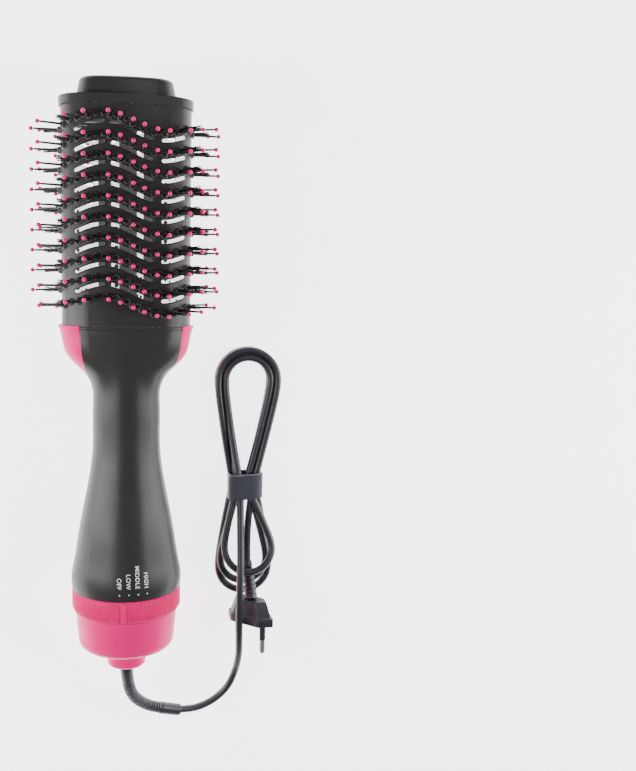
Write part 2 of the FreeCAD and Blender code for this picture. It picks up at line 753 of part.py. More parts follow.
def make_controls():
    """Selector ring with its wiper, the rotary switch, and the circuit board with its rectifier."""
    ring = turned(
        "ring_hoop",
        [
            ("sizes.ring_bore", "sizes.ring_front"),
            ("sizes.ring_radius - 0.5", "sizes.ring_front"),
            ("sizes.ring_radius", "sizes.ring_front + 0.6"),
            ("sizes.ring_radius", "sizes.ring_back - 0.6"),
            ("sizes.ring_radius - 0.5", "sizes.ring_back"),
            ("sizes.ring_bore", "sizes.ring_back"),
        ],
        last=False,
    )
    wide = size("pointer_wide")
    pointer = primitive("Box", "pointer_bar", at=(-wide / 2 - 1.5, 30.5, size("ring_front") + 0.3))
    pointer.Length = wide
    pointer.setExpression("Width", "sizes.pointer_radius - 30.5")
    pointer.setExpression("Height", "sizes.ring_back - sizes.ring_front - 0.6")
    keep(fuse("selector_ring", [ring, pointer]), "selector_ring")

    arm = primitive("Box", "wiper_arm", at=(22.5, -1.2, 300.4))
    arm.Length = size("ring_bore") - 22.6
    arm.Width = 2.4
    arm.Height = 3.2
    keep(arm, "switch_wiper")
    # at rest the wiper stands at the OFF end of the slot, and the ring carries it 30 degrees
    arm.Placement = LYING * Placement(Vector(0, 0, 0), Rotation(Vector(0, 0, 1), 55)) * arm_place()

    body = Part.makeCylinder(26.7, 12, Vector(0, 0, 297), Vector(0, 0, 1), 60)
    body = body.cut(Part.makeCylinder(17.5, 14, Vector(0, 0, 296)))
    groove = Part.makeCylinder(28, 4.4, Vector(0, 0, 299.8))
    groove = groove.cut(Part.makeCylinder(22.2, 6, Vector(0, 0, 299)))
    body = body.cut(groove)
    body.rotate(Vector(0, 0, 0), Vector(0, 0, 1), 10)
    feature("rotary_switch", body)

    board = primitive("Box", "circuit_board_plate")
    board.Length = 24.0
    board.Width = 1.6
    board.Height = 22.0
    keep(board, "circuit_board")
    board.Placement = LYING * Placement(Vector(-12, 8.0, 206.5), Rotation())
    chip = primitive("Box", "rectifier_block")
    chip.Length = 9.0
    chip.Width = 4.0
    chip.Height = 9.0
    keep(chip, "rectifier")
    chip.Placement = LYING * Placement(Vector(-4.5, 9.6, 213.0), Rotation())


def arm_place():
    return Placement(Vector(22.5, -1.2, 300.4), Rotation())


# ---------------------------------------------------------------- tail


def make_tail():
    """Tail cup with an inlet grille in its end, lint screen, collar and cord clamp."""
    cup = turned(
        "cup_hoop",
        [
            ("sizes.cup_radius - 1.1", "sizes.cup_front"),
            ("sizes.cup_radius", "sizes.cup_front"),
            ("sizes.cup_low_radius", "sizes.cup_shoulder"),
            ("sizes.cup_low_radius - 0.9", "sizes.cup_end - 7.8"),
            ("sizes.cup_low_radius - 2.6", "sizes.cup_end - 6.2"),
            ("sizes.cup_low_radius - 4.7", "sizes.cup_end - 5.1"),
            ("sizes.cup_low_radius - 9.0", "sizes.cup_end - 3.5"),
            ("sizes.cup_low_radius - 13.5", "sizes.cup_end - 1.7"),
            ("sizes.collar_radius - 1.0", "sizes.cup_end"),
            ("sizes.collar_radius - 1.0", "sizes.cup_end - 2.0"),
            ("sizes.cup_low_radius - 14.3", "sizes.cup_end - 3.5"),
            ("sizes.cup_low_radius - 9.9", "sizes.cup_end - 5.3"),
            ("sizes.cup_low_radius - 5.9", "sizes.cup_end - 6.9"),
            ("sizes.cup_low_radius - 4.1", "sizes.cup_end - 7.9"),
            ("sizes.cup_low_radius - 2.4", "sizes.cup_end - 9.4"),
            ("sizes.cup_low_radius - 2.0", "sizes.cup_shoulder - 2"),
            ("sizes.cup_low_radius - 1.4", "sizes.spigot_end + 0.4"),
            ("sizes.cup_radius - 1.1", "sizes.spigot_end + 0.4"),
        ],
        last=False,
    )
    slots = []
    for i in range(24):
        slot = Part.makeBox(7.6, 1.5, 12, Vector(13.4, -0.75, size("cup_end") - 9))
        slot.rotate(Vector(0, 0, 0), Vector(0, 0, 1), i * 15)
        slots.append(slot)
    grille = doc.addObject("Part::Feature", "inlet_slots")
    grille.Shape = Part.makeCompound(slots)
    keep(cut("tail_cup", cup, grille), "tail_cup")

    screen = Part.makeCylinder(24.0, 0.6, Vector(0, 0, 327.2))
    screen = screen.cut(Part.makeCylinder(12.2, 2, Vector(0, 0, 326.5)))
    holes = []
    for ring, count in ((14.5, 20), (17.5, 24), (20.5, 28)):
        for i in range(count):
            turn = 2 * math.pi * i / count
            holes.append(Part.makeCylinder(0.8, 2, Vector(ring * math.cos(turn), ring * math.sin(turn), 326.5)))
    feature("inlet_screen", screen.cut(holes))

    turned(
        "collar",
        [
            ("sizes.relief_bore", "sizes.collar_front"),
            ("sizes.collar_radius - 1.1", "sizes.collar_front"),
            ("sizes.collar_radius - 1.1", "sizes.cup_end"),
            ("sizes.collar_radius", "sizes.cup_end"),
            ("sizes.collar_radius", "sizes.collar_turn"),
            ("sizes.collar_end_radius", "sizes.length"),
            ("sizes.relief_bore", "sizes.length"),
        ],
    )
    clamp = Part.makeBox(16, 8, 5, Vector(-8, -4, 328.0))
    clamp = clamp.cut(Part.makeCylinder(3.0, 8, Vector(0, 0, 326)))
    for x in (-5.6, 5.6):
        clamp = clamp.cut(Part.makeCylinder(1.2, 12, Vector(x, -6, 330.5), Vector(0, 1, 0)))
    feature("cord_clamp", clamp)
    screws = []
    for x in (-5.6, 5.6):
        shank = Part.makeCylinder(1.1, 8.0, Vector(x, -4, 330.5), Vector(0, 1, 0))
        head = Part.makeCylinder(2.0, 1.4, Vector(x, 4.0, 330.5), Vector(0, 1, 0))
        screws.append(shank.fuse(head))
    feature("clamp_screws", Part.makeCompound(screws))


# ---------------------------------------------------------------- cord, hank and plug

# Chosen route, in the brush's lying frame: out of the collar, down to the surface, over the plug.
RELIEF_ROUTE = [
    (0.0, 9.0 - HALF, AXIS_UP),
    (0.0, -4.5 - HALF, AXIS_UP - 0.2),
    (2.0, -195.0, 30.0),
    (9.5, -207.0, 20.5),
    (20.0, -214.5, 13.0),
    (34.0, -219.0, 8.0),
]
CORD_ROUTE = [
    (34.0, -219.0, 8.0),
    (46.0, -220.0, 4.6),
    (57.3, -216.0, 2.5),
    (66.4, -207.5, 2.6),
    (70.9, -195.6, 4.8),
    (72.2, -182.3, 12.6),
    (71.6, -168.5, 18.4),
    (71.0, -154.5, 21.0),
    (71.0, -141.0, 20.4),
    (71.5, -128.0, 16.2),
    (71.8, -115.5, 12.8),
]
PLUG_AT = Vector(79.2, -152.0, 14.2)
HANK_OUTER = [
    (74.5, 18.6), (59.5, 10.5), (55.2, -6.0), (61.0, -34.0), (67.6, -61.0), (67.4, -78.0),
    (63.5, -104.0), (56.8, -128.0), (63.5, -142.0), (77.0, -147.5), (88.5, -142.0), (93.8, -128.0),
    (89.0, -102.0), (82.8, -78.0), (82.6, -61.0), (92.5, -34.0), (97.0, -8.0), (90.5, 11.0),
]
HANK_LOOP = [
    (76.4, 9.4), (68.2, 4.2), (64.6, -9.0), (69.5, -34.0), (75.0, -52.0), (80.6, -34.0), (88.0, -7.0), (84.6, 5.0),
]


def closed_face(points):
    curve = Part.BSplineCurve()
    curve.interpolate([Vector(x, y, 0) for x, y in points], PeriodicFlag=True)
    return Part.Face(Part.Wire(curve.toShape()))


def make_cord():
    """Strain relief, free cord, the hank's outer shape, its strap and the plug."""
    relief, long, radii = pipe(RELIEF_ROUTE, size("relief_radius"))
    flange = Part.makeCylinder(6.4, 1.6, Vector(0, 9.0 - HALF, AXIS_UP), Vector(0, 1, 0))
    feature("strain_relief", relief.fuse(flange), STANDING)
    print("relief length %.1f radii %s" % (long, ["%.0f" % r for r in radii]))

    tube, long, radii = pipe(CORD_ROUTE, size("cord_radius"))
    section = math.pi * size("cord_radius") ** 2
    print("cord length %.1f radii %s" % (long, ["%.0f" % r for r in radii]))
    print("cord volume %.0f, section times length %.0f" % (tube.Volume, section * long))
    feature("cord_tube", tube, STANDING)

    low = -12.0
    strap_in = Part.makeBox(18.6, 16.6, size("hank_thick") + 2.0, Vector(65.2, -77.6, size("tie_thick")))
    strap = Part.makeBox(
        18.6 + 2 * size("tie_thick"),
        16.6,
        size("hank_thick") + 2.0 + 2 * size("tie_thick"),
        Vector(65.2 - size("tie_thick"), -77.6, 0),
    )
    strap = strap.cut(strap_in)
    feature("cord_tie", strap, STANDING)

    make_plug()
    hank = closed_face(HANK_OUTER).cut(closed_face(HANK_LOOP)).extrude(Vector(0, 0, size("hank_thick")))
    plug_room = [p.Shape for p in parts if p.Label in ("plug_body", "plug_relief")]
    hank = hank.cut([strap, tube] + plug_room)
    solids = sorted(hank.Solids, key=lambda s: -s.Volume)
    feature("cord_hank", solids[0], STANDING)


def make_plug():
    """Flat two-pin plug: six-sided body with a flange, sleeved pins and a tapered relief."""

    def six_sided(wide, deep, face, along):
        corners = [(wide, deep * 0.35), (face, deep), (-face, deep), (-wide, deep * 0.35)]
        corners += [(-x, -y) for x, y in corners]
        points = [Vector(x, y, along) for x, y in corners]
        return Part.makePolygon(points + points[:1])

    flange = Part.Face(six_sided(17.6, 6.85, 11.0, 0)).extrude(Vector(0, 0, 5.6))
    body = Part.makeLoft([six_sided(15.6, 6.2, 9.6, 5.6), six_sided(12.0, 5.6, 7.0, 15.5)], True, True)
    whole = flange.fuse(body)
    placing = Placement(PLUG_AT + Vector(0, -6.4, 0), Rotation(Vector(1, 0, 0), -90))
    placing = placing * Placement(Vector(0, 0, 0), Rotation(Vector(0, 0, 1), -size("plug_roll")))
    feature("plug_body", whole, placing)
    pins = []
    for side in (-1, 1):
        at = Vector(side * size("plug_pin_apart") / 2, 0, -size("plug_pin_long"))
        pins.append(Part.makeCylinder(size("plug_pin_radius"), size("plug_pin_long"), at))
    feature("plug_pins", Part.makeCompound(pins), placing)
    start = PLUG_AT + Vector(0, 9.1, 0)
    end = Vector(77.0, -119.5, 9.0)
    relief = Part.makeCone(4.4, 3.0, (end - start).Length, start, end - start)
    body = whole.copy()
    body.Placement = placing
    feature("plug_relief", relief.cut(body), STANDING)


# ---------------------------------------------------------------- build and write

make_tip_cap()
make_barrel_shells()
make_pins()
make_tufts()
make_air_guide()
make_joint_ring()
make_handle()
make_heater()
make_air_mover()
make_controls()
make_tail()
make_cord()
doc.recompute()

for item in doc.Objects:
    if "Invalid" in item.State or "Error" in item.State:
        raise RuntimeError("%s did not build: %s" % (item.Label, item.State))
os.makedirs("parts", exist_ok=True)
for piece in parts:
    shape = piece.Shape
    if shape.isNull() or not shape.isValid():
        raise RuntimeError("%s has no valid shape" % piece.Label)
    shape.exportStep("parts/%s.step" % piece.Label)
print("%d sub-parts written" % len(parts))
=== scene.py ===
import math
import random

import bmesh
import bpy
from mathutils import Matrix, Vector
from mathutils.bvhtree import BVHTree


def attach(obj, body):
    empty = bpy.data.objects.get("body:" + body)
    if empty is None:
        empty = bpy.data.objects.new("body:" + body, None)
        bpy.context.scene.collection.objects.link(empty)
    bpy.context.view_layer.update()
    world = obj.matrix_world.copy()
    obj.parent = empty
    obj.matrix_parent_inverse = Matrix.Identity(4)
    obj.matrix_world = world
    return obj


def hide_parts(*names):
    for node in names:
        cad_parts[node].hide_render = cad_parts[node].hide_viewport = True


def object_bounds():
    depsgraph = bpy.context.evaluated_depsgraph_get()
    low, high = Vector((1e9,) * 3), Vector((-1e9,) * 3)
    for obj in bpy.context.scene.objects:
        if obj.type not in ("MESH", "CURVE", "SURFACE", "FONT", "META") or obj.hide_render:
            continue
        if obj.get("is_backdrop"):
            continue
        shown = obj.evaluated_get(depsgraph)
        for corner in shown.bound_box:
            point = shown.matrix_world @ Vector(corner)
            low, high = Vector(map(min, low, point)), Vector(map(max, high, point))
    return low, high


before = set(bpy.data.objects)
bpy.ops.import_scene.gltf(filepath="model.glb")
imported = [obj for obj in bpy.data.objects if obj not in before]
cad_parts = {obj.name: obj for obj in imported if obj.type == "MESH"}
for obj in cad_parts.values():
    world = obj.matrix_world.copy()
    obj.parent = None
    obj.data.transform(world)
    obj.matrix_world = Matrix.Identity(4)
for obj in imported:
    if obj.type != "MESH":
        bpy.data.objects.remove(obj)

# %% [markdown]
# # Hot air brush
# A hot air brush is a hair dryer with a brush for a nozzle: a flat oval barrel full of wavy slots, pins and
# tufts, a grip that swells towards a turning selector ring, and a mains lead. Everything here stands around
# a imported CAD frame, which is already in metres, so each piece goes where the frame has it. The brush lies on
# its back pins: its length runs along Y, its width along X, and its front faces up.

cad_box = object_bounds()
MM = 0.001
HALF_LENGTH = 172.5
AXIS_UP = 37.25


def lying(x, out, station):
    """A point of the brush, from millimetres across, out of the front and along from the tip."""
    return Vector((x, HALF_LENGTH - station, AXIS_UP + out)) * MM


print("frame pieces:", len(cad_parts))

# %% [markdown]
# ## Camera
# A product shot from above, leaning a little towards the tail. The lens axis is panned towards the lead, and
# the shift brings the brush back to the left of the frame, which keeps its sides parallel.

# %% The camera
lean, pan = math.radians(7.25), math.radians(8.411)
ahead = Vector((0.0, -math.sin(lean), -math.cos(lean)))
above = Vector((0.0, math.cos(lean), -math.sin(lean)))
beside = Vector((1.0, 0.0, 0.0))
look = ahead * math.cos(pan) + beside * math.sin(pan)
across = beside * math.cos(pan) - ahead * math.sin(pan)
camera = bpy.data.objects.new("camera", bpy.data.cameras.new("camera"))
bpy.context.collection.objects.link(camera)
turn = Matrix((across, above, -look)).transposed().to_4x4()
camera.matrix_world = Matrix.Translation((0.0, 0.0682, 0.58625)) @ turn
camera.data.lens = 43.42
camera.data.shift_x = 0.07
camera.data.clip_start = 0.01
bpy.context.scene.camera = camera
print("camera looks along", [round(v, 3) for v in look])

# %% [markdown]
# ## Studio
# The room is a white floor and two long narrow soft boxes, one low on each side, so that the rounded grip
# carries two streaks with a darker band between them. The floor glows brightly, as a light table does, which
# washes out the shadows and keeps the ground near white. It could be a plane with a backdrop; one sheet is
# enough.

# %% Floor, lights and room


def soft_box(name, place, aim, size, power):
    """A rectangular light at a place in metres that faces another place."""
    light = bpy.data.lights.new(name, "AREA")
    light.shape = "RECTANGLE"
    light.size, light.size_y = size
    light.energy = power
    lamp = bpy.data.objects.new(name, light)
    bpy.context.collection.objects.link(lamp)
    lamp.location = place
    lamp.rotation_euler = (Vector(aim) - Vector(place)).to_track_quat("-Z", "Y").to_euler()
    return lamp


soft_box("left_box", (-0.62, -0.02, 0.36), (0.0, -0.02, 0.03), (0.13, 0.95), 8.5)
soft_box("right_box", (0.78, -0.02, 0.27), (0.0, -0.02, 0.03), (0.2, 1.05), 9.0)
soft_box("top_box", (0.22, 0.55, 0.95), (0.02, 0.0, 0.03), (0.5, 0.4), 2.0)
room = bpy.data.worlds.new("room")
bpy.context.scene.world = room
room.use_nodes = True
room.node_tree.nodes["Background"].inputs["Color"].default_value = (1.0, 0.99, 0.98, 1.0)
room.node_tree.nodes["Background"].inputs["Strength"].default_value = 0.22

# %% [markdown]
# ## Writing finishes
# A finish is a material whose colour, roughness and relief come from nodes. Wiring them by hand is long to
# read, so one class wraps a socket and lets ordinary arithmetic add the Math nodes, and another makes any
# other node from its type, its settings and its sockets. Object coordinates are in metres, so a noise of
# scale 1000 has grains of about a millimetre, at the size that the real surface has.

# %% Sockets as values


class Value:
    """A shader output that can stand in an expression."""

    def __init__(self, finish, socket):
        self.finish = finish
        self.socket = socket

    def math(self, operation, first, second):
        return self.finish.node("ShaderNodeMath", {"operation": operation}, {0: first, 1: second})

    def __add__(self, other):
        return self.math("ADD", self, other)

    def __sub__(self, other):
        return self.math("SUBTRACT", self, other)

    def __rsub__(self, other):
        return self.math("SUBTRACT", other, self)

    def __mul__(self, other):
        return self.math("MULTIPLY", self, other)

    __radd__ = __add__
    __rmul__ = __mul__


# %% Finishes


class Finish:
    """A material on the Principled shader, with its constants set on the shader's own sockets."""

    def __init__(self, name, slot, fixed):
        self.material = bpy.data.materials.new(name)
        self.material.use_nodes = True
        self.slot = slot
        self.tree = self.material.node_tree
        self.shader = self.tree.nodes["Principled BSDF"]
        self.place = self.node("ShaderNodeTexCoord", {}, {}, "Object")
        for socket, value in fixed.items():
            self.shader.inputs[socket].default_value = value

    def node(self, kind, settings, sockets, output=0):
        """Any node: its settings first, then a value or a link for each socket that is named."""
        made = self.tree.nodes.new(kind)
        for name, value in settings.items():
            setattr(made, name, value)
        for name, value in sockets.items():
            if isinstance(value, Value):
                self.tree.links.new(value.socket, made.inputs[name])
            else:
                made.inputs[name].default_value = value
        return Value(self, made.outputs[output])

    def grain(self, scale, detail=2.0, stretch=None):
        """Noise with this many grains to a metre, from 0 to 1, drawn out along an axis where asked."""
        place = self.place
        if stretch is not None:
            place = self.node("ShaderNodeVectorMath", {"operation": "MULTIPLY"}, {0: place, 1: stretch})
        return self.node("ShaderNodeTexNoise", {}, {"Vector": place, "Scale": scale, "Detail": detail})

    def between(self, share, first, second):
        """A colour between two colours."""
        return self.node(
            "ShaderNodeMix", {"data_type": "RGBA"}, {0: share, 6: (*first, 1.0), 7: (*second, 1.0)}, 2
        )

    def relief(self, height, depth):
        """The shader's normal from a height, whose full range is so many metres deep."""
        bump = self.node("ShaderNodeBump", {}, {"Strength": 1.0, "Distance": depth, "Height": height})
        self.feed("Normal", bump)

    def feed(self, socket, value):
        self.tree.links.new(value.socket, self.shader.inputs[socket])


print("finish tools ready")

# %% [markdown]
# ## Plastics
# The body is charcoal plastic with a satin metallic lacquer: a fine flake, a slight orange peel and a soft
# sheen. The trims, ring and tail cup are solid hot pink with a moulded gloss, and the pink also carries a
# faint painted glow that no lamp gives. Each has faint handling marks in its roughness, because an even gloss
# looks like nothing that was ever held.

# %% Charcoal lacquer
charcoal = Finish("charcoal_lacquer", "charcoal_plastic", {"Metallic": 0.2, "IOR": 1.28, "Coat Weight": 0.04,
                                                           "Coat Roughness": 0.3})
flake = charcoal.grain(5200.0, 1.0)
cloud = charcoal.grain(38.0, 3.0)
charcoal.feed("Base Color", charcoal.between(flake * 0.55 + cloud * 0.35,
                                             (0.020, 0.020, 0.0196), (0.046, 0.045, 0.043)))
charcoal.feed("Roughness", 0.29 + charcoal.grain(120.0, 4.0) * 0.12 + flake * 0.04)
charcoal.relief(charcoal.grain(2600.0, 2.0) * 0.6 + charcoal.grain(700.0, 1.0) * 0.4, 0.00003)
print("charcoal nodes:", len(charcoal.tree.nodes))

# %% Plain grey of the root rings
root_grey = Finish("root_ring_grey", "charcoal_plastic", {"IOR": 1.42})
root_grey.feed("Base Color", root_grey.between(root_grey.grain(300.0),
                                               (0.050, 0.049, 0.047), (0.082, 0.080, 0.076)))
root_grey.feed("Roughness", 0.34 + root_grey.grain(900.0) * 0.12)
root_grey.relief(root_grey.grain(2200.0), 0.00002)
print("root ring nodes:", len(root_grey.tree.nodes))

# %% Hot pink plastic
# The pink's emission is a painted glow: the plastic glows faintly, though it is no lamp.
pink = Finish("hot_pink_plastic", "pink_plastic", {"IOR": 1.22, "Emission Color": (1.0, 0.0, 0.2, 1.0),
                                                   "Emission Strength": 0.12, "Coat Weight": 0.02,
                                                   "Coat Roughness": 0.12})
pink.feed("Base Color", pink.between(pink.grain(45.0, 3.0), (0.74, 0.0, 0.15), (0.86, 0.0, 0.19)))
pink.feed("Roughness", 0.27 + pink.grain(160.0, 4.0) * 0.14)
pink.relief(pink.grain(900.0, 2.0), 0.00003)
print("pink nodes:", len(pink.tree.nodes))

# %% Black pins and their pink balls
pin_black = Finish("black_pin_nylon", "pin_nylon", {"IOR": 1.53})
pin_black.feed("Base Color", pin_black.between(pin_black.grain(600.0),
                                               (0.006, 0.006, 0.007), (0.016, 0.016, 0.018)))
pin_black.feed("Roughness", 0.3 + pin_black.grain(900.0) * 0.18)
pin_black.relief(pin_black.grain(3000.0), 0.00002)
ball_pink = Finish("ball_pink_nylon", "pin_nylon", {"IOR": 1.3, "Subsurface Weight": 0.15,
                                                    "Subsurface Scale": 0.001, "Coat Weight": 0.1})
ball_pink.feed("Base Color", ball_pink.between(ball_pink.grain(400.0), (0.76, 0.0, 0.14), (0.88, 0.0, 0.19)))
ball_pink.feed("Roughness", 0.24 + ball_pink.grain(1500.0) * 0.12)
ball_pink.relief(ball_pink.grain(1800.0), 0.00003)
bristle = Finish("bristle_nylon", "tuft_nylon", {"IOR": 1.53, "Sheen Weight": 0.1})
bristle.feed("Base Color", bristle.between(bristle.grain(2400.0, 1.0),
                                           (0.004, 0.004, 0.005), (0.022, 0.021, 0.022)))
bristle.feed("Roughness", 0.34 + bristle.grain(2400.0, 1.0) * 0.2)
bristle.relief(bristle.grain(6000.0, 1.0), 0.00002)
print("pin and bristle finishes ready")

# %% Plastic and metal inside
inner = Finish("inner_black_plastic", "inner_plastic", {"IOR": 1.5})
inner.feed("Base Color", inner.between(inner.grain(80.0, 3.0), (0.02, 0.02, 0.021), (0.04, 0.04, 0.042)))
inner.feed("Roughness", 0.45 + inner.grain(300.0) * 0.15)
inner.relief(inner.grain(1500.0), 0.00004)
# A white with a painted glow for the inside of the barrel: it glows though it is no lamp, and stands in for the
# light seen through the slots.
inner_glow = Finish("painted_glow_white", "charcoal_plastic", {"IOR": 1.45, "Emission Color": (1.0, 1.0, 1.0, 1.0),
                                                        "Emission Strength": 1.2})
inner_glow.feed("Base Color", inner_glow.between(inner_glow.grain(90.0), (0.86, 0.86, 0.85), (0.93, 0.93, 0.92)))
inner_glow.feed("Roughness", 0.6 + inner_glow.grain(400.0) * 0.15)
inner_glow.relief(inner_glow.grain(1200.0), 0.00003)
mica = Finish("mica_sheet", "mica", {"IOR": 1.58, "Coat Weight": 0.3})
flecks = mica.node("ShaderNodeTexVoronoi", {}, {"Vector": mica.place, "Scale": 420.0}, "Color")
mica.feed("Base Color", mica.node("ShaderNodeMix", {"data_type": "RGBA", "blend_type": "SOFT_LIGHT"},
                                  {0: 0.35, 6: (0.62, 0.52, 0.36, 1.0), 7: flecks}, 2))
mica.feed("Roughness", 0.3 + mica.grain(500.0) * 0.25)
mica.relief(mica.grain(500.0, 4.0), 0.00005)
steel = Finish("bright_steel", "steel", {"Metallic": 1.0})
steel.feed("Base Color", steel.between(steel.grain(300.0), (0.5, 0.5, 0.49), (0.66, 0.66, 0.65)))
steel.feed("Roughness", 0.24 + steel.grain(900.0, 3.0) * 0.16)
steel.relief(steel.grain(2500.0, 2.0, (1.0, 0.15, 1.0)), 0.00001)
motor_steel = Finish("plated_motor_steel", "motor_steel", {"Metallic": 1.0})
motor_steel.feed("Base Color", motor_steel.between(motor_steel.grain(200.0),
                                                   (0.34, 0.34, 0.35), (0.47, 0.47, 0.47)))
motor_steel.feed("Roughness", 0.32 + motor_steel.grain(500.0, 3.0) * 0.2)
motor_steel.relief(motor_steel.grain(2500.0, 2.0, (1.0, 1.0, 0.15)), 0.00001)
hot_wire = Finish("resistance_wire", "heating_wire", {"Metallic": 1.0})
hot_wire.feed("Base Color", hot_wire.between(hot_wire.grain(260.0), (0.30, 0.25, 0.21), (0.52, 0.44, 0.38)))
hot_wire.feed("Roughness", 0.36 + hot_wire.grain(1500.0) * 0.2)
hot_wire.relief(hot_wire.grain(5000.0), 0.00001)
fan_grey = Finish("fan_nylon", "fan_plastic", {"IOR": 1.53})
fan_grey.feed("Base Color", fan_grey.between(fan_grey.grain(70.0), (0.20, 0.21, 0.22), (0.27, 0.28, 0.29)))
fan_grey.feed("Roughness", 0.42 + fan_grey.grain(400.0) * 0.14)
fan_grey.relief(fan_grey.grain(1600.0), 0.00003)
resin = Finish("board_resin_green", "board_resin", {"IOR": 1.5, "Coat Weight": 0.35})
resin.feed("Base Color", resin.between(resin.grain(260.0, 4.0), (0.012, 0.085, 0.035), (0.022, 0.13, 0.055)))
resin.feed("Roughness", 0.3 + resin.grain(700.0) * 0.15)
resin.relief(resin.grain(1800.0), 0.00003)
screen_grey = Finish("lint_screen_steel", "lint_mesh", {"Metallic": 0.8})
screen_grey.feed("Base Color", screen_grey.between(screen_grey.grain(300.0),
                                                   (0.09, 0.09, 0.09), (0.16, 0.16, 0.16)))
screen_grey.feed("Roughness", 0.4 + screen_grey.grain(1200.0) * 0.2)
screen_grey.relief(screen_grey.grain(3000.0), 0.00002)
print("inner finishes ready")

# %% [markdown]
# ## Lead, tie and plug
# The lead has a soft PVC jacket, blue-black with a dull shine and a faint orange peel. The tie is a woven
# strap: two crossed waves stand for its warp and weft, a little over half a millimetre apart, and raise it.

# %% Lead, tie and plug finishes
jacket = Finish("blue_black_jacket", "cord_rubber", {"IOR": 1.5, "Sheen Weight": 0.12, "Sheen Roughness": 0.4})
jacket.feed("Base Color", jacket.between(jacket.grain(60.0, 3.0),
                                         (0.010, 0.012, 0.019), (0.022, 0.026, 0.038)))
jacket.feed("Roughness", 0.32 + jacket.grain(220.0, 4.0) * 0.2)
jacket.relief(jacket.grain(1300.0, 2.0), 0.00006)
plug_black = Finish("plug_pvc", "plug_plastic", {"IOR": 1.5, "Coat Weight": 0.08, "Coat Roughness": 0.3})
plug_black.feed("Base Color", plug_black.between(plug_black.grain(70.0, 3.0),
                                                 (0.009, 0.011, 0.017), (0.020, 0.023, 0.033)))
plug_black.feed("Roughness", 0.36 + plug_black.grain(260.0, 4.0) * 0.2)
plug_black.relief(plug_black.grain(900.0, 3.0), 0.00007)
nickel = Finish("nickel_pins", "plug_brass", {"Metallic": 1.0})
nickel.feed("Base Color", nickel.between(nickel.grain(250.0), (0.60, 0.58, 0.54), (0.74, 0.72, 0.68)))
nickel.feed("Roughness", 0.2 + nickel.grain(700.0, 3.0, (1.0, 0.1, 1.0)) * 0.2)
nickel.relief(nickel.grain(2500.0, 2.0, (1.0, 0.1, 1.0)), 0.00001)
woven = Finish("woven_navy_strap", "strap_fabric", {"Sheen Weight": 0.5, "Sheen Roughness": 0.5, "IOR": 1.45})


def threads(direction, spacing):
    """Rounded ridges across one direction, a spacing apart in metres."""
    return woven.node(
        "ShaderNodeTexWave",
        {"wave_type": "BANDS", "bands_direction": direction, "wave_profile": "SIN"},
        {"Vector": woven.place, "Scale": 0.314 / spacing, "Distortion": 0.6, "Detail": 1.0, "Detail Scale": 4.0},
        "Fac",
    )


warp, weft = threads("X", 0.00085), threads("Y", 0.0007)
weave = warp * weft + (1 - warp) * (1 - weft)
woven.feed("Base Color", woven.between(weave * 0.8 + woven.grain(2500.0) * 0.3,
                                       (0.006, 0.008, 0.014), (0.034, 0.042, 0.066)))
woven.feed("Roughness", 0.9 - weave * 0.2)
woven.relief(weave, 0.00022)
ink = Finish("white_dial_ink", "charcoal_plastic", {"IOR": 1.5})
ink.feed("Base Color", ink.between(ink.grain(900.0), (0.70, 0.70, 0.70), (0.86, 0.86, 0.85)))
ink.feed("Roughness", 0.45 + ink.grain(900.0) * 0.15)
ink.relief(ink.grain(3000.0), 0.00001)
print("lead finishes ready")

# %% [markdown]
# ## Making meshes
# Most pieces here are rows of points joined by quads: a turned knob is rows of rings, a lead is rings along a
# path, and a strap is one closed band. One small class collects rows, faces and finishes, and makes an object
# that rides on a body of the frame and takes the place of the frame's own simple solid.

# %% Rows of points into a piece


class Shape:
    """Points and faces of one piece, with a finish number for each face."""

    def __init__(self):
        self.points, self.faces, self.kinds = [], [], []

    def rows(self, rows, around=True, loop=False, caps=False, kind=0):
        """Quads between rows; around joins a row's two ends, loop the last row to the first, caps close both."""
        start, wide = len(self.points), len(rows[0])
        for row in rows:
            self.points.extend(row)
        for i in range(len(rows) if loop else len(rows) - 1):
            low, high = start + i * wide, start + (i + 1) % len(rows) * wide
            for j in range(wide if around else wide - 1):
                k = (j + 1) % wide
                self.faces.append((low + j, low + k, high + k, high + j))
                self.kinds.append(kind)
        if caps:
            last = start + (len(rows) - 1) * wide
            self.faces.append(tuple(start + j for j in reversed(range(wide))))
            self.faces.append(tuple(last + j for j in range(wide)))
            self.kinds += [kind, kind]

    def make(self, name, finishes, body="brush", replaces=(), turned_half=False, angle=35.0):
        """The finished object, with its faces turned outwards and its sharp edges marked."""
        mesh = bpy.data.meshes.new(name)
        mesh.from_pydata([tuple(p) for p in self.points], [], self.faces)
        mesh.polygons.foreach_set("material_index", self.kinds)
        shaping = bmesh.new()
        shaping.from_mesh(mesh)
        bmesh.ops.recalc_face_normals(shaping, faces=shaping.faces)
        shaping.to_mesh(mesh)
        shaping.free()
        mesh.shade_smooth()
        mesh.set_sharp_from_angle(angle=math.radians(angle))
        if turned_half:
            axis = Matrix.Translation((0.0, 0.0, AXIS_UP * MM))
            mesh.transform(axis @ Matrix.Rotation(math.pi, 4, "Y") @ axis.inverted())
        thing = bpy.data.objects.new(name, mesh)
        bpy.context.collection.objects.link(thing)
        for finish in finishes:
            mesh.materials.append(finish.material)
        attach(thing, body)
        if replaces:
            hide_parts(*replaces)
        print(name, "has", len(mesh.polygons), "faces")
        return thing


def ring(centre, axis, radius, sides, spare=None):
    """Points of a circle around an axis."""
    side = axis.cross(spare or (Vector((0, 0, 1)) if abs(axis.z) < 0.9 else Vector((0, 1, 0)))).normalized()
    other = axis.cross(side)
    turns = [2 * math.pi * i / sides for i in range(sides)]
    return [centre + (side * math.cos(t) + other * math.sin(t)) * radius for t in turns]


def turned(shape, root, axis, profile, sides, kind=0):
    """Rings along an axis, from (height, radius) in millimetres, closed at both ends."""
    shape.rows([ring(root + axis * height * MM, axis, radius * MM, sides) for height, radius in profile],
               caps=True, kind=kind)


print("mesh tools ready")

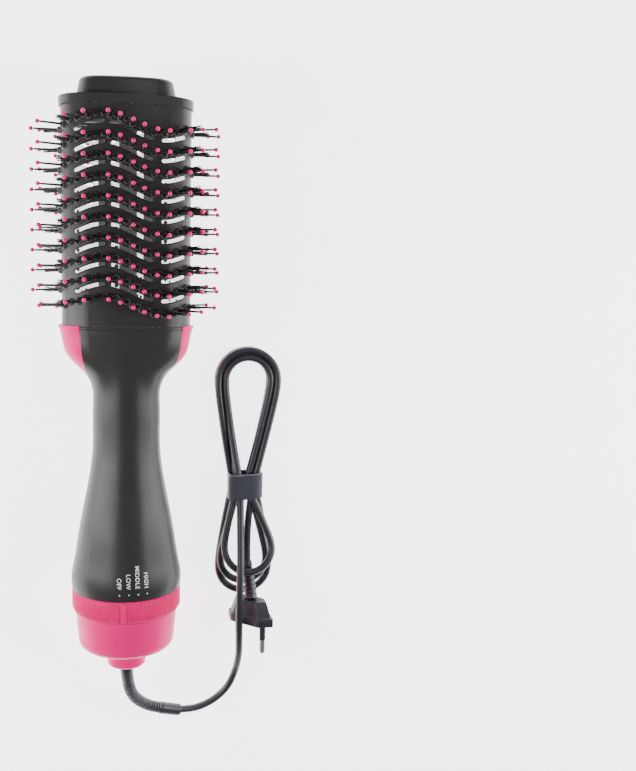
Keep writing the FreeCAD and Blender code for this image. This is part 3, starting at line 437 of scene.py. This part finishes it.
# %% [markdown]
# ## The barrel's skin
# The barrel's section is an oval of four arcs: a wide shallow arc in front and behind, and a tight one at each
# side. Pins, tufts, raised rings and slot lips all stand on this skin, so two functions give the place and the
# direction of its surface, one by distance along the skin and one by distance across the brush.

# %% Oval sections


class Oval:
    """Four tangent arcs: half width, half depth, and how far each wide arc turns, in millimetres and degrees."""

    def __init__(self, wide, deep, turn):
        self.turn = math.radians(turn)
        self.apart = (wide - deep) / (math.sin(self.turn) + math.cos(self.turn) - 1)
        self.side = wide - self.apart * math.sin(self.turn)
        self.front = self.side + self.apart
        self.front_long = self.front * self.turn
        self.quarter = self.front_long + self.side * (math.pi / 2 - self.turn)

    def at(self, arc):
        """(across, out, its normal's across, its normal's out), at a distance along the skin from the front."""
        way = 1.0 if arc >= 0 else -1.0
        arc = abs(arc)
        behind = arc > self.quarter
        if behind:
            arc = 2 * self.quarter - arc
        if arc < self.front_long:
            facing = arc / self.front
            x = self.front * math.sin(facing)
            out = self.front * math.cos(facing) - self.apart * math.cos(self.turn)
        else:
            facing = self.turn + (arc - self.front_long) / self.side
            x = self.apart * math.sin(self.turn) + self.side * math.sin(facing)
            out = self.side * math.cos(facing)
        flip = -1.0 if behind else 1.0
        return way * x, flip * out, way * math.sin(facing), flip * math.cos(facing)

    def facing(self, degrees):
        """The distance along the skin at which it faces so many degrees from the front."""
        facing = math.radians(degrees if degrees <= 90 else 180 - degrees)
        if facing < self.turn:
            arc = self.front * facing
        else:
            arc = self.front_long + self.side * (facing - self.turn)
        return arc if degrees <= 90 else 2 * self.quarter - arc

    def over(self, x):
        """The distance along the front skin at which it is so far across."""
        low, high = -self.quarter, self.quarter
        for _ in range(40):
            middle = (low + high) / 2
            low, high = (middle, high) if self.at(middle)[0] < x else (low, middle)
        return low


BARREL = Oval(37.0, 20.0, 8.15)
print("skin from the front to the side:", round(BARREL.quarter, 2), "mm")

# %% Rows of the barrel
ROWS, ROW_FIRST, SLOT_FIRST, PITCH = 10, 27.1, 30.4, 11.1
SIDE_PINS, SIDE_FIRST, SIDE_PITCH = 9, 29.0, 11.2
PIN_ARCS = [-37.6, -26.5, -20.6, -8.7, -2.9, 3.3, 8.7, 15.0, 21.0, 27.4, 32.2, 39.8]
TUFT_ARCS = [-32.0, -23.5, -17.0, -12.2, -5.8, 0.2, 6.0, 12.0, 18.0, 24.2, 29.8, 36.0]
SLOT_SPANS = [(-27.6, -13.0), (-8.0, 13.6), (20.4, 31.8)]


def wave(x, left_half=32.0):
    """How far a row runs towards the tail, so far across: a crest left of the middle, a trough to its right."""
    if x < -12.0:
        return -4.7 * math.cos(math.pi * (x + 12.0) / left_half)
    return 4.7 * math.sin(math.pi * (x - 4.0) / 32.0)


def seats(arcs, lift, side_facing):
    """(root, direction) on the front skin for each pin or tuft, and for those of the right side column."""
    found = []
    for row in range(ROWS):
        for arc in arcs:
            x, out, nx, no = BARREL.at(arc)
            station = ROW_FIRST + PITCH * row + wave(x, 45.0) - lift
            found.append((lying(x, out, station), Vector((nx, 0.0, no))))
    for i in range(SIDE_PINS):
        x, out, nx, no = BARREL.at(BARREL.facing(side_facing))
        found.append((lying(x, out, SIDE_FIRST + SIDE_PITCH * i), Vector((nx, 0.0, no))))
    return found


pin_seats = seats(PIN_ARCS, 0.0, 95.0)
tuft_seats = seats(TUFT_ARCS, 1.0, 82.0)
print("pins:", len(pin_seats), "tufts:", len(tuft_seats), "on each face")

# %% [markdown]
# ## Pins, tufts and their raised rings
# A pin is a slim tapered nylon rod with a ball melted onto its end, in pink. A tuft is a bundle of bristles
# pressed into a hole, so its bristles start close together and spread. Hair particles could make them, but
# thin tapered rods export as clean meshes. Around each root the shell has a raised ring.

# %% Pins
PIN_PROFILE = [(-0.6, 0.85), (0.4, 0.8), (4.0, 0.68), (14.6, 0.56)]
BALL_PROFILE = [(14.75, 0.35), (14.95, 0.75), (15.4, 1.1), (16.0, 1.25),
                (16.6, 1.1), (17.05, 0.75), (17.24, 0.3)]
for name, chosen, stands_for, half in (
    ("front_pin_rows", pin_seats[: ROWS * 12], "front_pins", False),
    ("rear_pin_rows", pin_seats[: ROWS * 12], "rear_pins", True),
    ("right_pin_column", pin_seats[ROWS * 12 :], "right_side_pins", False),
    ("left_pin_column", pin_seats[ROWS * 12 :], "left_side_pins", True),
):
    pins = Shape()
    for root, away in chosen:
        turned(pins, root, away, PIN_PROFILE, 10, 0)
        turned(pins, root, away, BALL_PROFILE, 14, 1)
    pins.make(name, [pin_black, ball_pink], replaces=[stands_for], turned_half=half, angle=60.0)

# %% Tufts
BRISTLES = 26
for name, stands_for, half, seed in (
    ("front_tuft_rows", "front_tufts", False, 11),
    ("rear_tuft_rows", "rear_tufts", True, 12),
):
    chance = random.Random(seed)
    tufts = Shape()
    for root, away in tuft_seats:
        for i in range(BRISTLES):
            spread = math.sqrt((i + 0.5) / BRISTLES)
            turn = 2.39996 * i + chance.uniform(-0.3, 0.3)
            aside = ring(Vector(), away, 1.0, 4)
            lean = aside[0] * math.cos(turn) + aside[1] * math.sin(turn)
            reach = 10.7 - 1.1 * spread + chance.uniform(-0.5, 0.35)
            foot = root + (lean * 0.86 * spread - away * 0.5) * MM
            knee = root + (lean * (1.05 * spread + chance.uniform(-0.08, 0.08)) + away * reach * 0.5) * MM
            tip = root + (lean * (1.62 * spread + chance.uniform(-0.14, 0.14)) + away * reach) * MM
            bends = ((foot, 0.15), (knee, 0.14), (tip, 0.09))
            tufts.rows([ring(place, away, radius * MM, 5) for place, radius in bends], caps=True)
    tufts.make(name, [bristle], replaces=[stands_for], turned_half=half, angle=70.0)

# %% Raised rings around the roots
RING_PROFILE = [(-0.3, 2.15), (0.12, 2.08), (0.45, 1.92), (1.15, 1.84), (1.5, 1.74), (1.66, 1.52),
                (1.62, 1.28), (1.2, 1.05), (0.2, 0.98)]
for name, half in (("front_root_rings", False), ("rear_root_rings", True)):
    rings = Shape()
    for root, away in pin_seats + tuft_seats:
        turned(rings, root, away, RING_PROFILE, 18)
    rings.make(name, [root_grey], turned_half=half, angle=50.0)

# %% [markdown]
# ## Slots
# The frame's shells have the wavy slots already, cut clean. Moulded plastic never has such an edge, so a small
# rounded lip runs round each slot, half sunk into the skin, and catches the light as a soft bevel would. The
# inside of the barrel takes a white that glows faintly: a painted glow, not a lamp, that stands in for the light
# seen through the slots and shows pale through them. The faces that lie deeper than half the wall take that
# white glow, but not those where the two shells meet.

# %% Lips around the slots
SLOT_HALF = 1.4


def slot_outline(start, end, station):
    """Points round one slot, anticlockwise, as (across, station)."""
    steps = int((end - start) / 1.5)
    spans = [start + (end - start) * i / steps for i in range(steps + 1)]
    turns = [math.pi * i / 8 for i in range(1, 8)]
    tail_side, tip_side = [], []
    for x in spans:
        slope = (wave(x + 0.01) - wave(x - 0.01)) / 0.02
        away = Vector((-slope, 1.0)).normalized() * SLOT_HALF
        tail_side.append((x + away.x, station + wave(x) + away.y))
        tip_side.insert(0, (x - away.x, station + wave(x) - away.y))
    right = [(end + SLOT_HALF * math.sin(t), station + wave(end) + SLOT_HALF * math.cos(t)) for t in turns]
    left = [(start - SLOT_HALF * math.sin(t), station + wave(start) - SLOT_HALF * math.cos(t)) for t in turns]
    return tail_side + right + tip_side + left


for name, half in (("front_slot_lips", False), ("rear_slot_lips", True)):
    lips = Shape()
    for row in range(ROWS - 1):
        for start, end in SLOT_SPANS:
            outline = []
            for x, station in slot_outline(start, end, SLOT_FIRST + PITCH * row):
                across_x, out, nx, no = BARREL.at(BARREL.over(x))
                outline.append((lying(across_x - 0.12 * nx, out - 0.12 * no, station), Vector((nx, 0.0, no))))
            bead = []
            for i, (point, away) in enumerate(outline):
                along = (outline[(i + 1) % len(outline)][0] - outline[i - 1][0]).normalized()
                bead.append(ring(point, along, 0.42 * MM, 8, away))
            lips.rows(bead, loop=True)
    lips.make(name, [charcoal], turned_half=half, angle=80.0)

# %% [markdown]
# ## Finishes for the frame's own pieces
# The hard parts of the frame have the right shape, so they stay and take these finishes: the shells, trims,
# cup and collar that show, and everything inside, down to the fan and the heater.

# %% Painting the frame
PAINT = {
    charcoal: ["tip_cap", "barrel_front_shell", "barrel_rear_shell", "handle_front_shell", "handle_rear_shell"],
    pink: ["left_shoulder_trim", "right_shoulder_trim", "tail_cup", "collar"],
    inner: ["air_guide", "joint_ring", "motor_mount", "rotary_switch", "switch_wiper", "cord_clamp",
            "rectifier"],
    mica: ["heater_board_long", "heater_board_cross", "mica_sleeve"],
    hot_wire: ["heating_coil"],
    steel: ["thermostat", "thermal_fuse", "handle_screws", "clamp_screws"],
    motor_steel: ["motor_can", "motor_rotor"],
    fan_grey: ["impeller"],
    resin: ["circuit_board"],
    screen_grey: ["inlet_screen"],
}
for finish, names in PAINT.items():
    for name in names:
        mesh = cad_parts[name].data
        mesh.materials.clear()
        mesh.materials.append(finish.material)
# The faces inside the barrel take the painted white glow, which stands in for the light seen through the slots.
WALL_MIDDLE = Oval(36.2, 19.2, 8.15)
for name in ("barrel_front_shell", "barrel_rear_shell"):
    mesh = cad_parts[name].data
    mesh.materials.append(inner_glow.material)
    painted = 0
    for face in mesh.polygons:
        x, out = abs(face.center.x) / MM, abs(face.center.z / MM - AXIS_UP)
        bend = WALL_MIDDLE.apart * math.sin(WALL_MIDDLE.turn)
        if x > bend + out * math.tan(WALL_MIDDLE.turn):
            inside = math.hypot(x - bend, out) < WALL_MIDDLE.side
        else:
            inside = math.hypot(x, out + WALL_MIDDLE.apart * math.cos(WALL_MIDDLE.turn)) < WALL_MIDDLE.front
        if inside and out > 0.3:
            face.material_index = 1
            painted += 1
    print(name, "white inside:", painted, "of", len(mesh.polygons))

# %% [markdown]
# ## Shoulder
# Where the barrel meets the grip there are two fine steps: a thin rim round the grip's mouth, and on each pink
# trim a lip that flares over the joint. Both follow the grip's own oval, as rows of a small moulded section.

# %% Grip sections
GRIP = [
    (138.5, 37.2, 20.2, 8.15), (146, 37.0, 20.2, 8.15), (153, 35.6, 20.1, 9),
    (160, 30.9, 20.0, 14), (167, 23.8, 19.9, 24),
    (174.5, 20.1, 19.75, 38), (188, 19.7, 19.65, 45), (204, 19.68, 19.65, 45), (218, 20.52, 20.5, 45),
    (239, 24.02, 24.0, 45), (261.5, 28.22, 28.2, 45), (277, 30.72, 30.7, 45), (295, 32.02, 32.0, 45),
]
MOUTH = Oval(37.2, 20.2, 8.15)
SEAM_ROLL = math.radians(10.0)
TRIM_EDGE = 28.6


def rolled(x, out):
    """Across and out, in axes that are rolled with the parting seam."""
    cosine, sine = math.cos(SEAM_ROLL), math.sin(SEAM_ROLL)
    return x * cosine - out * sine, x * sine + out * cosine


def edge_arcs(oval, edge):
    """Distances along the skin at which the right trim starts, in front, and ends, behind."""
    arcs = [2 * oval.quarter * i / 800 for i in range(801)]
    held = [arc for arc in arcs if rolled(*oval.at(arc)[:2])[0] > edge]
    return held[0], held[-1]


trim_start, trim_end = edge_arcs(MOUTH, TRIM_EDGE)
print("right trim runs along the mouth from", round(trim_start, 1), "to", round(trim_end, 1), "mm")


def mouth_band(shape, start, end, profile, steps, fade=0.0):
    """Rows of a closed section, (station, how proud) in millimetres, along the grip's mouth."""
    rows = []
    for i in range(steps + 1):
        arc = start + (end - start) * i / steps
        x, out, nx, no = MOUTH.at(arc)
        ends = min(i, steps - i) / steps
        share = 1.0 - fade + fade * min(1.0, ends * 3.0) * abs(nx) ** 0.5
        rows.append([lying(x + nx * proud * share, out + no * proud * share, station) if proud > 0
                     else lying(x + nx * proud, out + no * proud, station) for station, proud in profile])
    shape.rows(rows, caps=True)


# %% Trim lips and the grip's rim
LIP = [(138.35, -0.9), (138.3, 0.9), (138.42, 1.55), (138.8, 1.85), (139.4, 1.8), (140.6, 1.3),
       (142.4, 0.72), (144.6, 0.3), (147.5, 0.02), (147.5, -0.9)]
for name, half in (("right_trim_lip", False), ("left_trim_lip", True)):
    lip = Shape()
    mouth_band(lip, trim_start + 0.25, trim_end - 0.25, LIP, 56, 0.55)
    lip.make(name, [pink], turned_half=half, angle=60.0)
RIM = [(138.55, -0.6), (138.55, 0.12), (138.75, 0.3), (139.1, 0.36), (140.1, 0.36), (140.45, 0.28),
       (140.62, 0.1), (140.65, -0.6)]
left_start = trim_end - 2 * MOUTH.quarter
for name, half in (("front_grip_rim", False), ("rear_grip_rim", True)):
    rim = Shape()
    mouth_band(rim, left_start + 0.15, trim_start - 0.15, RIM, 72)
    rim.make(name, [charcoal], turned_half=half, angle=40.0)

# %% [markdown]
# ## Selector ring
# The ring turns on the grip's spigot to choose the speed. Its rim has fine straight ribs for the fingers and a
# smooth raised pointer, and its tail edge is chamfered. It is a turned section whose outer rows rise and fall
# with the angle: a boolean cut for each rib would give the same shape with far more faces.

# %% The ring
RIBS, RIB_STEPS, RING_BORE, POINTER = 190, 4, 29.06, math.radians(-2.7)
RING_PROFILE_OUT = [(295.3, 30.6, 0.0), (295.42, 31.4, 0.0), (295.75, 31.9, 0.2), (296.3, 32.25, 1.0),
                    (301.0, 32.3, 1.0), (305.9, 32.3, 1.0),
                    (306.5, 32.05, 1.0), (307.5, 31.55, 0.7), (308.45, 31.0, 0.1), (308.7, 30.5, 0.0)]
dial = Shape()
columns = []
for i in range(RIBS * RIB_STEPS):
    angle = 2 * math.pi * i / (RIBS * RIB_STEPS)
    groove = (0.0, 0.02, 0.45, 0.45)[i % RIB_STEPS]
    off = abs((angle - POINTER + math.pi) % (2 * math.pi) - math.pi) * 32.3
    column = [(295.3, RING_BORE)]
    for station, radius, share in RING_PROFILE_OUT:
        if off < 1.25:
            radius += 0.62 * share
        elif off < 2.75:
            radius -= 0.45 * share
        else:
            radius -= groove * share
        column.append((station, radius))
    column.append((308.7, RING_BORE))
    columns.append([lying(r * math.sin(angle), r * math.cos(angle), s) for s, r in column])
dial.rows(columns, loop=True)
dial.make("ribbed_selector_ring", [pink], body="selector", replaces=["selector_ring"], angle=38.0)

# %% [markdown]
# ## Dial marks
# Four words stand above the ring, turned to read along the grip, each with a dot under it. Text objects are
# flat, so each is turned into a mesh, and its points are laid on the round grip, a hair above the lacquer.

# %% Words and dots on the grip


front_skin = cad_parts["handle_front_shell"].data
skin_tree = BVHTree.FromPolygons(
    [v.co for v in front_skin.vertices], [tuple(p.vertices) for p in front_skin.polygons]
)


def on_grip(angle, station, proud):
    """The place so far above the grip's skin, at an angle round the axis and a station along it."""
    far = lying(60.0 * math.sin(angle), 60.0 * math.cos(angle), station)
    inward = (lying(0.0, 0.0, station) - far).normalized()
    return skin_tree.ray_cast(far, inward)[0] - inward * proud * MM


WORD_END, DOT_STATION, GRIP_ROUND = 287.4, 290.7, 32.6
marks = Shape()
for word, degrees in (("OFF", -7.6), ("LOW", 1.9), ("MIDDLE", 11.3), ("HIGH", 20.6)):
    lettering = bpy.data.curves.new(word, "FONT")
    lettering.body = word
    lettering.size = 3.55
    lettering.align_x = "RIGHT"
    lettering.space_character = 1.06
    lettering.offset = 0.045
    drawn = bpy.data.objects.new(word, lettering)
    flat = bpy.data.meshes.new_from_object(drawn)
    shaping = bmesh.new()
    shaping.from_mesh(flat)
    bmesh.ops.triangulate(shaping, faces=shaping.faces)
    middle = (max(v.co.y for v in shaping.verts) + min(v.co.y for v in shaping.verts)) / 2
    start = len(marks.points)
    for v in shaping.verts:
        station = WORD_END + v.co.x
        angle = math.radians(degrees) + (v.co.y - middle) / GRIP_ROUND
        marks.points.append(on_grip(angle, station, 0.07))
    for face in shaping.faces:
        marks.faces.append([start + v.index for v in face.verts])
        marks.kinds.append(0)
    shaping.free()
    bpy.data.objects.remove(drawn)
    angle = math.radians(degrees + 0.6)
    outward = Vector((math.sin(angle), 0.0, math.cos(angle)))
    turned(marks, on_grip(angle, DOT_STATION, 0.0), outward, [(-0.3, 0.42), (0.07, 0.42), (0.1, 0.36)], 14)
marks.make("dial_marks", [ink], angle=60.0)

# %% [markdown]
# ## The lead
# The mains lead is about a metre and a half of 4.6 mm cord. It leaves the collar inside its strain relief,
# sinks to the surface, swings round and climbs over the plug, and is then folded into a hank with a tie round
# its waist: a slim loop above the tie and looser turns below. One NURBS spline carries all of it, so its bends
# flow into each other. Each fold is an arc worked out by a function, no tighter than three diameters. The
# turns lie in layers, and close to the tie some of them press into each other. A simulation could settle it,
# but a listed route keeps each turn where it belongs. The free stretch has the same places as the CAD lead up
# to the plug; its next three are higher, to clear the innermost lower turn.

# %% The route of the lead
RELIEF_ROUTE = [(0.0, -172.5, 37.25), (0.0, -177.0, 37.05), (2.0, -195.0, 30.0), (9.5, -207.0, 20.5),
                (20.0, -214.5, 13.0), (34.0, -219.0, 8.0)]
FEED_ROUTE = [(46.0, -220.0, 4.6), (57.3, -216.0, 2.5), (66.4, -207.5, 2.6), (70.9, -195.6, 4.8),
              (72.2, -182.3, 12.6), (71.6, -168.5, 18.4), (71.0, -154.5, 21.0), (71.0, -141.0, 21.8),
              (71.2, -128.0, 22.2), (71.5, -115.5, 20.2), (71.8, -97.0, 14.6), (71.7, -83.0, 12.6)]
WAIST = -69.0
LOW, MIDDLE, TOP = 3.6, 7.9, 12.1
FOLD_POINTS = 7


def fold(middle, radius, lean, side, heights):
    """Half a turn of the lead about a middle: an arc a little longer than that, as its ends lean inwards."""
    points = []
    first, last = math.radians(180.0 + lean), math.radians(-lean)
    for i in range(FOLD_POINTS):
        share = i / (FOLD_POINTS - 1)
        turn = first + (last - first) * share
        points.append((middle[0] + radius * math.cos(turn), middle[1] + side * radius * math.sin(turn),
                       heights[0] + (heights[1] - heights[0]) * math.sin(math.pi * share)))
    return points


def leg(start, end, bow):
    """Two points on the way between the tie and a fold, bowed a little, with most of the climb near the tie."""
    out = []
    for share, climb in ((0.3, 0.55), (0.66, 0.92)):
        x, y, z = (a + (b - a) * share for a, b in zip(start, end))
        out.append((x + bow * math.sin(math.pi * share), y, start[2] + (end[2] - start[2]) * climb))
    return out


def loop(into, out_of, middle, radius, lean, side, heights):
    """A whole loop, from one place at the tie to the next; the second place belongs to the loop after it."""
    arc = fold(middle, radius, lean, side, heights)
    if into[0] > out_of[0]:
        arc.reverse()
    bow = 0.6 if into[0] < out_of[0] else -0.6
    back = leg(out_of, arc[-1], bow)
    return [into] + leg(into, arc[0], -bow) + arc + back[::-1]


AT_TIE = [(71.6, WAIST, TOP), (75.4, WAIST, MIDDLE), (70.2, WAIST, MIDDLE), (77.0, WAIST, LOW),
          (72.3, WAIST, LOW), (81.6, WAIST, LOW), (67.6, WAIST, LOW), (80.2, WAIST, MIDDLE)]
route = RELIEF_ROUTE + FEED_ROUTE
route += loop(AT_TIE[0], AT_TIE[1], (76.2, -2.0), 14.9, 6.0, 1.0, (7.2, 7.2))
route += loop(AT_TIE[1], AT_TIE[2], (77.2, -109.5), 15.8, 6.0, -1.0, (12.2, 16.6))
route += loop(AT_TIE[2], AT_TIE[3], (76.2, -2.0), 14.9, 6.0, 1.0, (2.4, 2.4))
route += loop(AT_TIE[3], AT_TIE[4], (74.6, -118.0), 15.3, 6.0, -1.0, (7.2, 7.2))
route += loop(AT_TIE[4], AT_TIE[5], (76.2, -2.0), 19.6, 8.0, 1.0, (2.4, 2.4))
route += loop(AT_TIE[5], AT_TIE[6], (75.3, -124.5), 16.9, 8.0, -1.0, (2.4, 2.4))
route += loop(AT_TIE[6], AT_TIE[7], (76.2, -2.0), 19.6, 8.0, 1.0, (7.2, 7.2))
route += [AT_TIE[7], (77.2, -92.0, 8.3), (76.8, -112.0, 8.8), (77.0, -119.5, 9.2), (77.9, -132.0, 12.0),
          (78.6, -141.0, 13.6)]
print("lead points:", len(route))


def spline(name, points, bevel=None):
    """One open NURBS spline of order 3 that ends on its first and last points."""
    curve = bpy.data.curves.new(name, "CURVE")
    curve.dimensions = "3D"
    line = curve.splines.new("NURBS")
    line.points.add(len(points) - 1)
    for point, place in zip(line.points, points):
        point.co = (*(value * MM for value in place), 1.0)
    line.order_u = 3
    line.use_endpoint_u = True
    line.resolution_u = 10
    if bevel:
        curve.bevel_depth = bevel * MM
        curve.bevel_resolution = 6
        curve.use_fill_caps = True
    return bpy.data.objects.new(name, curve)


lead = spline("mains_lead", route, 2.3)
bpy.context.collection.objects.link(lead)
lead.data.materials.append(jacket.material)
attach(lead, "brush")
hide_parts("cord_tube", "cord_hank")


def follow(points):
    """Places along a route's NURBS line, read from the curve with no bevel."""
    line = spline("line", points)
    read = bpy.data.meshes.new_from_object(line)
    found = [v.co.copy() for v in read.vertices]
    bpy.data.objects.remove(line)
    bpy.data.meshes.remove(read)
    return found


def lengths(line):
    """How far along the line each of its places is, in millimetres."""
    far = [0.0]
    for first, second in zip(line, line[1:]):
        far.append(far[-1] + (second - first).length / MM)
    return far


def along(line, far, distance):
    """The place and direction at a distance along the line."""
    i = next((i for i in range(1, len(far)) if far[i] >= distance), len(far) - 1)
    share = (distance - far[i - 1]) / (far[i] - far[i - 1])
    return line[i - 1].lerp(line[i], share), (line[i] - line[i - 1]).normalized()


lead_long = lengths(follow(route))[-1]
print("lead length:", round(lead_long), "mm")

# %% [markdown]
# ## Strain relief
# Where the lead leaves the collar a moulded sleeve keeps it from kinking. It tapers, its middle is slit into
# short ribs so that it bends evenly, and it ends in a plain cuff. Rings of changing radius follow the lead's
# own line through it.

# %% The ribbed sleeve
sleeve_line = follow([(0.0, -163.5, 37.25)] + RELIEF_ROUTE)
sleeve_far = lengths(sleeve_line)
sleeve_long = sleeve_far[-1]
sleeve = Shape()
rows = []
steps = int(sleeve_long / 0.25)
for i in range(steps + 1):
    distance = sleeve_long * i / steps
    place, way = along(sleeve_line, sleeve_far, distance)
    radius = 3.95 - 0.55 * distance / sleeve_long
    if 24.0 < distance < sleeve_long - 17.0:
        phase = (distance - 24.0) % 2.4
        radius -= 0.55 if phase < 0.5 else (0.2 if phase < 0.75 or phase > 2.15 else 0.0)
    if distance > sleeve_long - 15.0:
        radius += 0.35 * min(1.0, (distance - sleeve_long + 15.0) / 1.0)
    if distance > sleeve_long - 0.3:
        radius -= 0.3
    rows.append(ring(place, way, radius * MM, 36, Vector((0.35, 0.0, 1.0))))
sleeve.rows(rows, caps=True)
strain_relief = sleeve.make("ribbed_strain_relief", [jacket], replaces=["strain_relief"], angle=50.0)

# %% [markdown]
# ## Tie
# A woven strap with a hook face is wrapped round the hank's waist, a little askew, and pressed onto itself. It
# is a closed band whose section is a rounded rectangle that settles onto the strands, with its free end lying
# over the first layer.

# %% The woven tie


def strap_section(share, grow):
    """A point round the bundle, from 0 to 1, anticlockwise from the right, grown by so many millimetres."""
    turn = 2 * math.pi * share
    half_x, half_z, power = 9.6, 6.75, 0.52
    cosine, sine = math.cos(turn), math.sin(turn)
    x = (half_x + grow) * math.copysign(abs(cosine) ** power, cosine)
    z = (half_z + grow) * math.copysign(abs(sine) ** power, sine)
    if sine > 0:
        z -= 0.9 * abs(cosine) ** 3 * sine
    return x, z


tie = Shape()
STRAP_WIDE, STRAP_ROUND = 14, 96
ring_rows = []
for i in range(STRAP_ROUND):
    share = i / STRAP_ROUND
    inner_x, inner_z = strap_section(share, 0.0)
    outer_x, outer_z = strap_section(share, 1.0)
    row = []
    for side, (x, z) in ((1, (outer_x, outer_z)), (-1, (inner_x, inner_z))):
        for j in range(STRAP_WIDE + 1):
            y = -8.0 + 16.0 * (j if side > 0 else STRAP_WIDE - j) / STRAP_WIDE
            edge = 0.12 * (abs(y) > 7.4)
            across_x = 74.5 + x - math.copysign(edge, x) * (side > 0)
            up_z = 7.85 + z - edge * (z > 0) * (side > 0)
            row.append(Vector((across_x, -69.3 + y + 0.045 * x, up_z)) * MM)
    ring_rows.append(row)
tie.rows(ring_rows, loop=True)
flap_rows = []
for i in range(34):
    share = 0.02 + 0.40 * i / 33
    thick = 0.95 if i < 32 else 0.5
    low, high = strap_section(share, 1.0), strap_section(share, 1.0 + thick)
    row = []
    for side, (x, z) in ((1, high), (-1, low)):
        for j in range(STRAP_WIDE + 1):
            y = -7.8 + 15.6 * (j if side > 0 else STRAP_WIDE - j) / STRAP_WIDE
            row.append(Vector((74.5 + x, -69.5 + y + 0.075 * x, 7.85 + z)) * MM)
    flap_rows.append(row)
tie.rows(flap_rows, caps=True)
woven_tie = tie.make("woven_cord_tie", [woven], replaces=["cord_tie"], angle=50.0)

# %% [markdown]
# ## Plug
# A two-pole plug with round pins, moulded in one with its cord grip: a six-sided flange that the fingers pull
# on, a body that narrows towards the lead, and a ribbed grip. The pins are sleeved at their roots. The plug
# lies rolled onto one edge of its flange, as a loose one does.

# %% The plug
PLUG_AT, PLUG_ROLL = Vector((79.2, -152.0, 14.2)), math.radians(42.0)
PLUG_TURN = Matrix.Rotation(-PLUG_ROLL, 3, "Y")


def plug_point(x, y, z):
    """A point of the plug, from across and up in its own axes, and along Y."""
    return (PLUG_AT + PLUG_TURN @ Vector((x, y - PLUG_AT.y, z))) * MM


def six_sided(wide, thick, flat, y):
    corners = [(wide, 0.0), (flat, thick), (-flat, thick), (-wide, 0.0), (-flat, -thick), (flat, -thick)]
    outline = []
    for (x0, z0), (x1, z1) in zip(corners, corners[1:] + corners[:1]):
        for i in range(6):
            share = (0.04, 0.12, 0.35, 0.65, 0.88, 0.96)[i]
            outline.append(plug_point(x0 + (x1 - x0) * share, y, z0 + (z1 - z0) * share))
    return outline


PLUG_SECTIONS = [
    (17.0, 6.3, 10.5, -158.4), (17.45, 6.7, 10.85, -158.15), (17.6, 6.85, 11.0, -157.7),
    (17.6, 6.85, 11.0, -153.6),
    (17.4, 6.7, 10.85, -153.1), (16.9, 6.5, 10.5, -152.85), (15.9, 6.3, 9.8, -152.7),
    (15.55, 6.15, 9.55, -152.2),
    (15.2, 6.1, 9.3, -151.0), (13.9, 5.9, 8.5, -147.6), (12.6, 5.75, 7.5, -144.4), (12.1, 5.5, 7.1, -143.4),
    (11.5, 5.1, 6.7, -142.95),
]
plug = Shape()
plug.rows([six_sided(*section) for section in PLUG_SECTIONS], caps=True)
plug_piece = plug.make("moulded_plug", [plug_black], replaces=["plug_body"], angle=28.0)

grip_line = follow([(79.2, -142.2, 14.2), (78.6, -134.0, 12.5), (77.7, -127.0, 10.7), (77.0, -119.5, 9.2)])
grip_far = lengths(grip_line)
cord_grip = Shape()
rows = []
steps = int(grip_far[-1] / 0.3)
for i in range(steps + 1):
    distance = grip_far[-1] * i / steps
    place, way = along(grip_line, grip_far, distance)
    radius = 4.3 - 1.3 * distance / grip_far[-1]
    if 3.0 < distance < grip_far[-1] - 3.0 and (distance - 3.0) % 2.7 < 0.7:
        radius -= 0.5
    rows.append(ring(place, way, radius * MM, 32, Vector((1.0, 0.0, 0.0))))
cord_grip.rows(rows, caps=True)
grip_piece = cord_grip.make("plug_cord_grip", [plug_black], replaces=["plug_relief"], angle=50.0)

pins = Shape()
for side in (-1, 1):
    root = plug_point(9.5 * side, -158.2, 0.0)
    turned(pins, root, Vector((0, -1, 0)), [(-0.4, 2.0), (9.6, 2.0), (9.9, 1.9)], 28, 1)
    bare = [(9.4, 1.86), (10.2, 1.9), (17.4, 1.96), (18.2, 1.85), (18.8, 1.45), (19.1, 0.8)]
    turned(pins, root, Vector((0, -1, 0)), bare, 28, 0)
pin_piece = pins.make("sleeved_plug_pins", [nickel, plug_black], replaces=["plug_pins"], angle=45.0)

# %% [markdown]
# ## Floor and size
# The floor is one sheet under everything, with a faint mottle so that it isn't a flat colour. It belongs to
# the stage and not to the brush. Last, the size of the finished model is written beside the size of the frame.

# %% The floor
floor_finish = Finish("pale_floor", "stage", {"Emission Strength": 4.2})
paper = floor_finish.between(floor_finish.grain(30.0, 3.0), (0.84, 0.84, 0.84), (0.88, 0.88, 0.88))
floor_finish.feed("Base Color", paper)
floor_finish.feed("Emission Color", paper)
floor_finish.feed("Roughness", 0.75 + floor_finish.grain(60.0) * 0.1)
sheet = bpy.data.meshes.new("floor")
corners = [(-3.0, -3.0), (3.0, -3.0), (3.0, 3.0), (-3.0, 3.0)]
sheet.from_pydata([(x, y, -0.0002) for x, y in corners], [], [(0, 1, 2, 3)])
sheet.materials.append(floor_finish.material)
floor = bpy.data.objects.new("floor", sheet)
bpy.context.collection.objects.link(floor)
floor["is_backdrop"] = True

# %% Size and finish
model_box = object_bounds()
sizes = {"frame": [list(corner) for corner in cad_box], "model": [list(corner) for corner in model_box]}
for label, (low, high) in sizes.items():
    print(label, [round(1000 * v, 1) for v in low], [round(1000 * v, 1) for v in high])
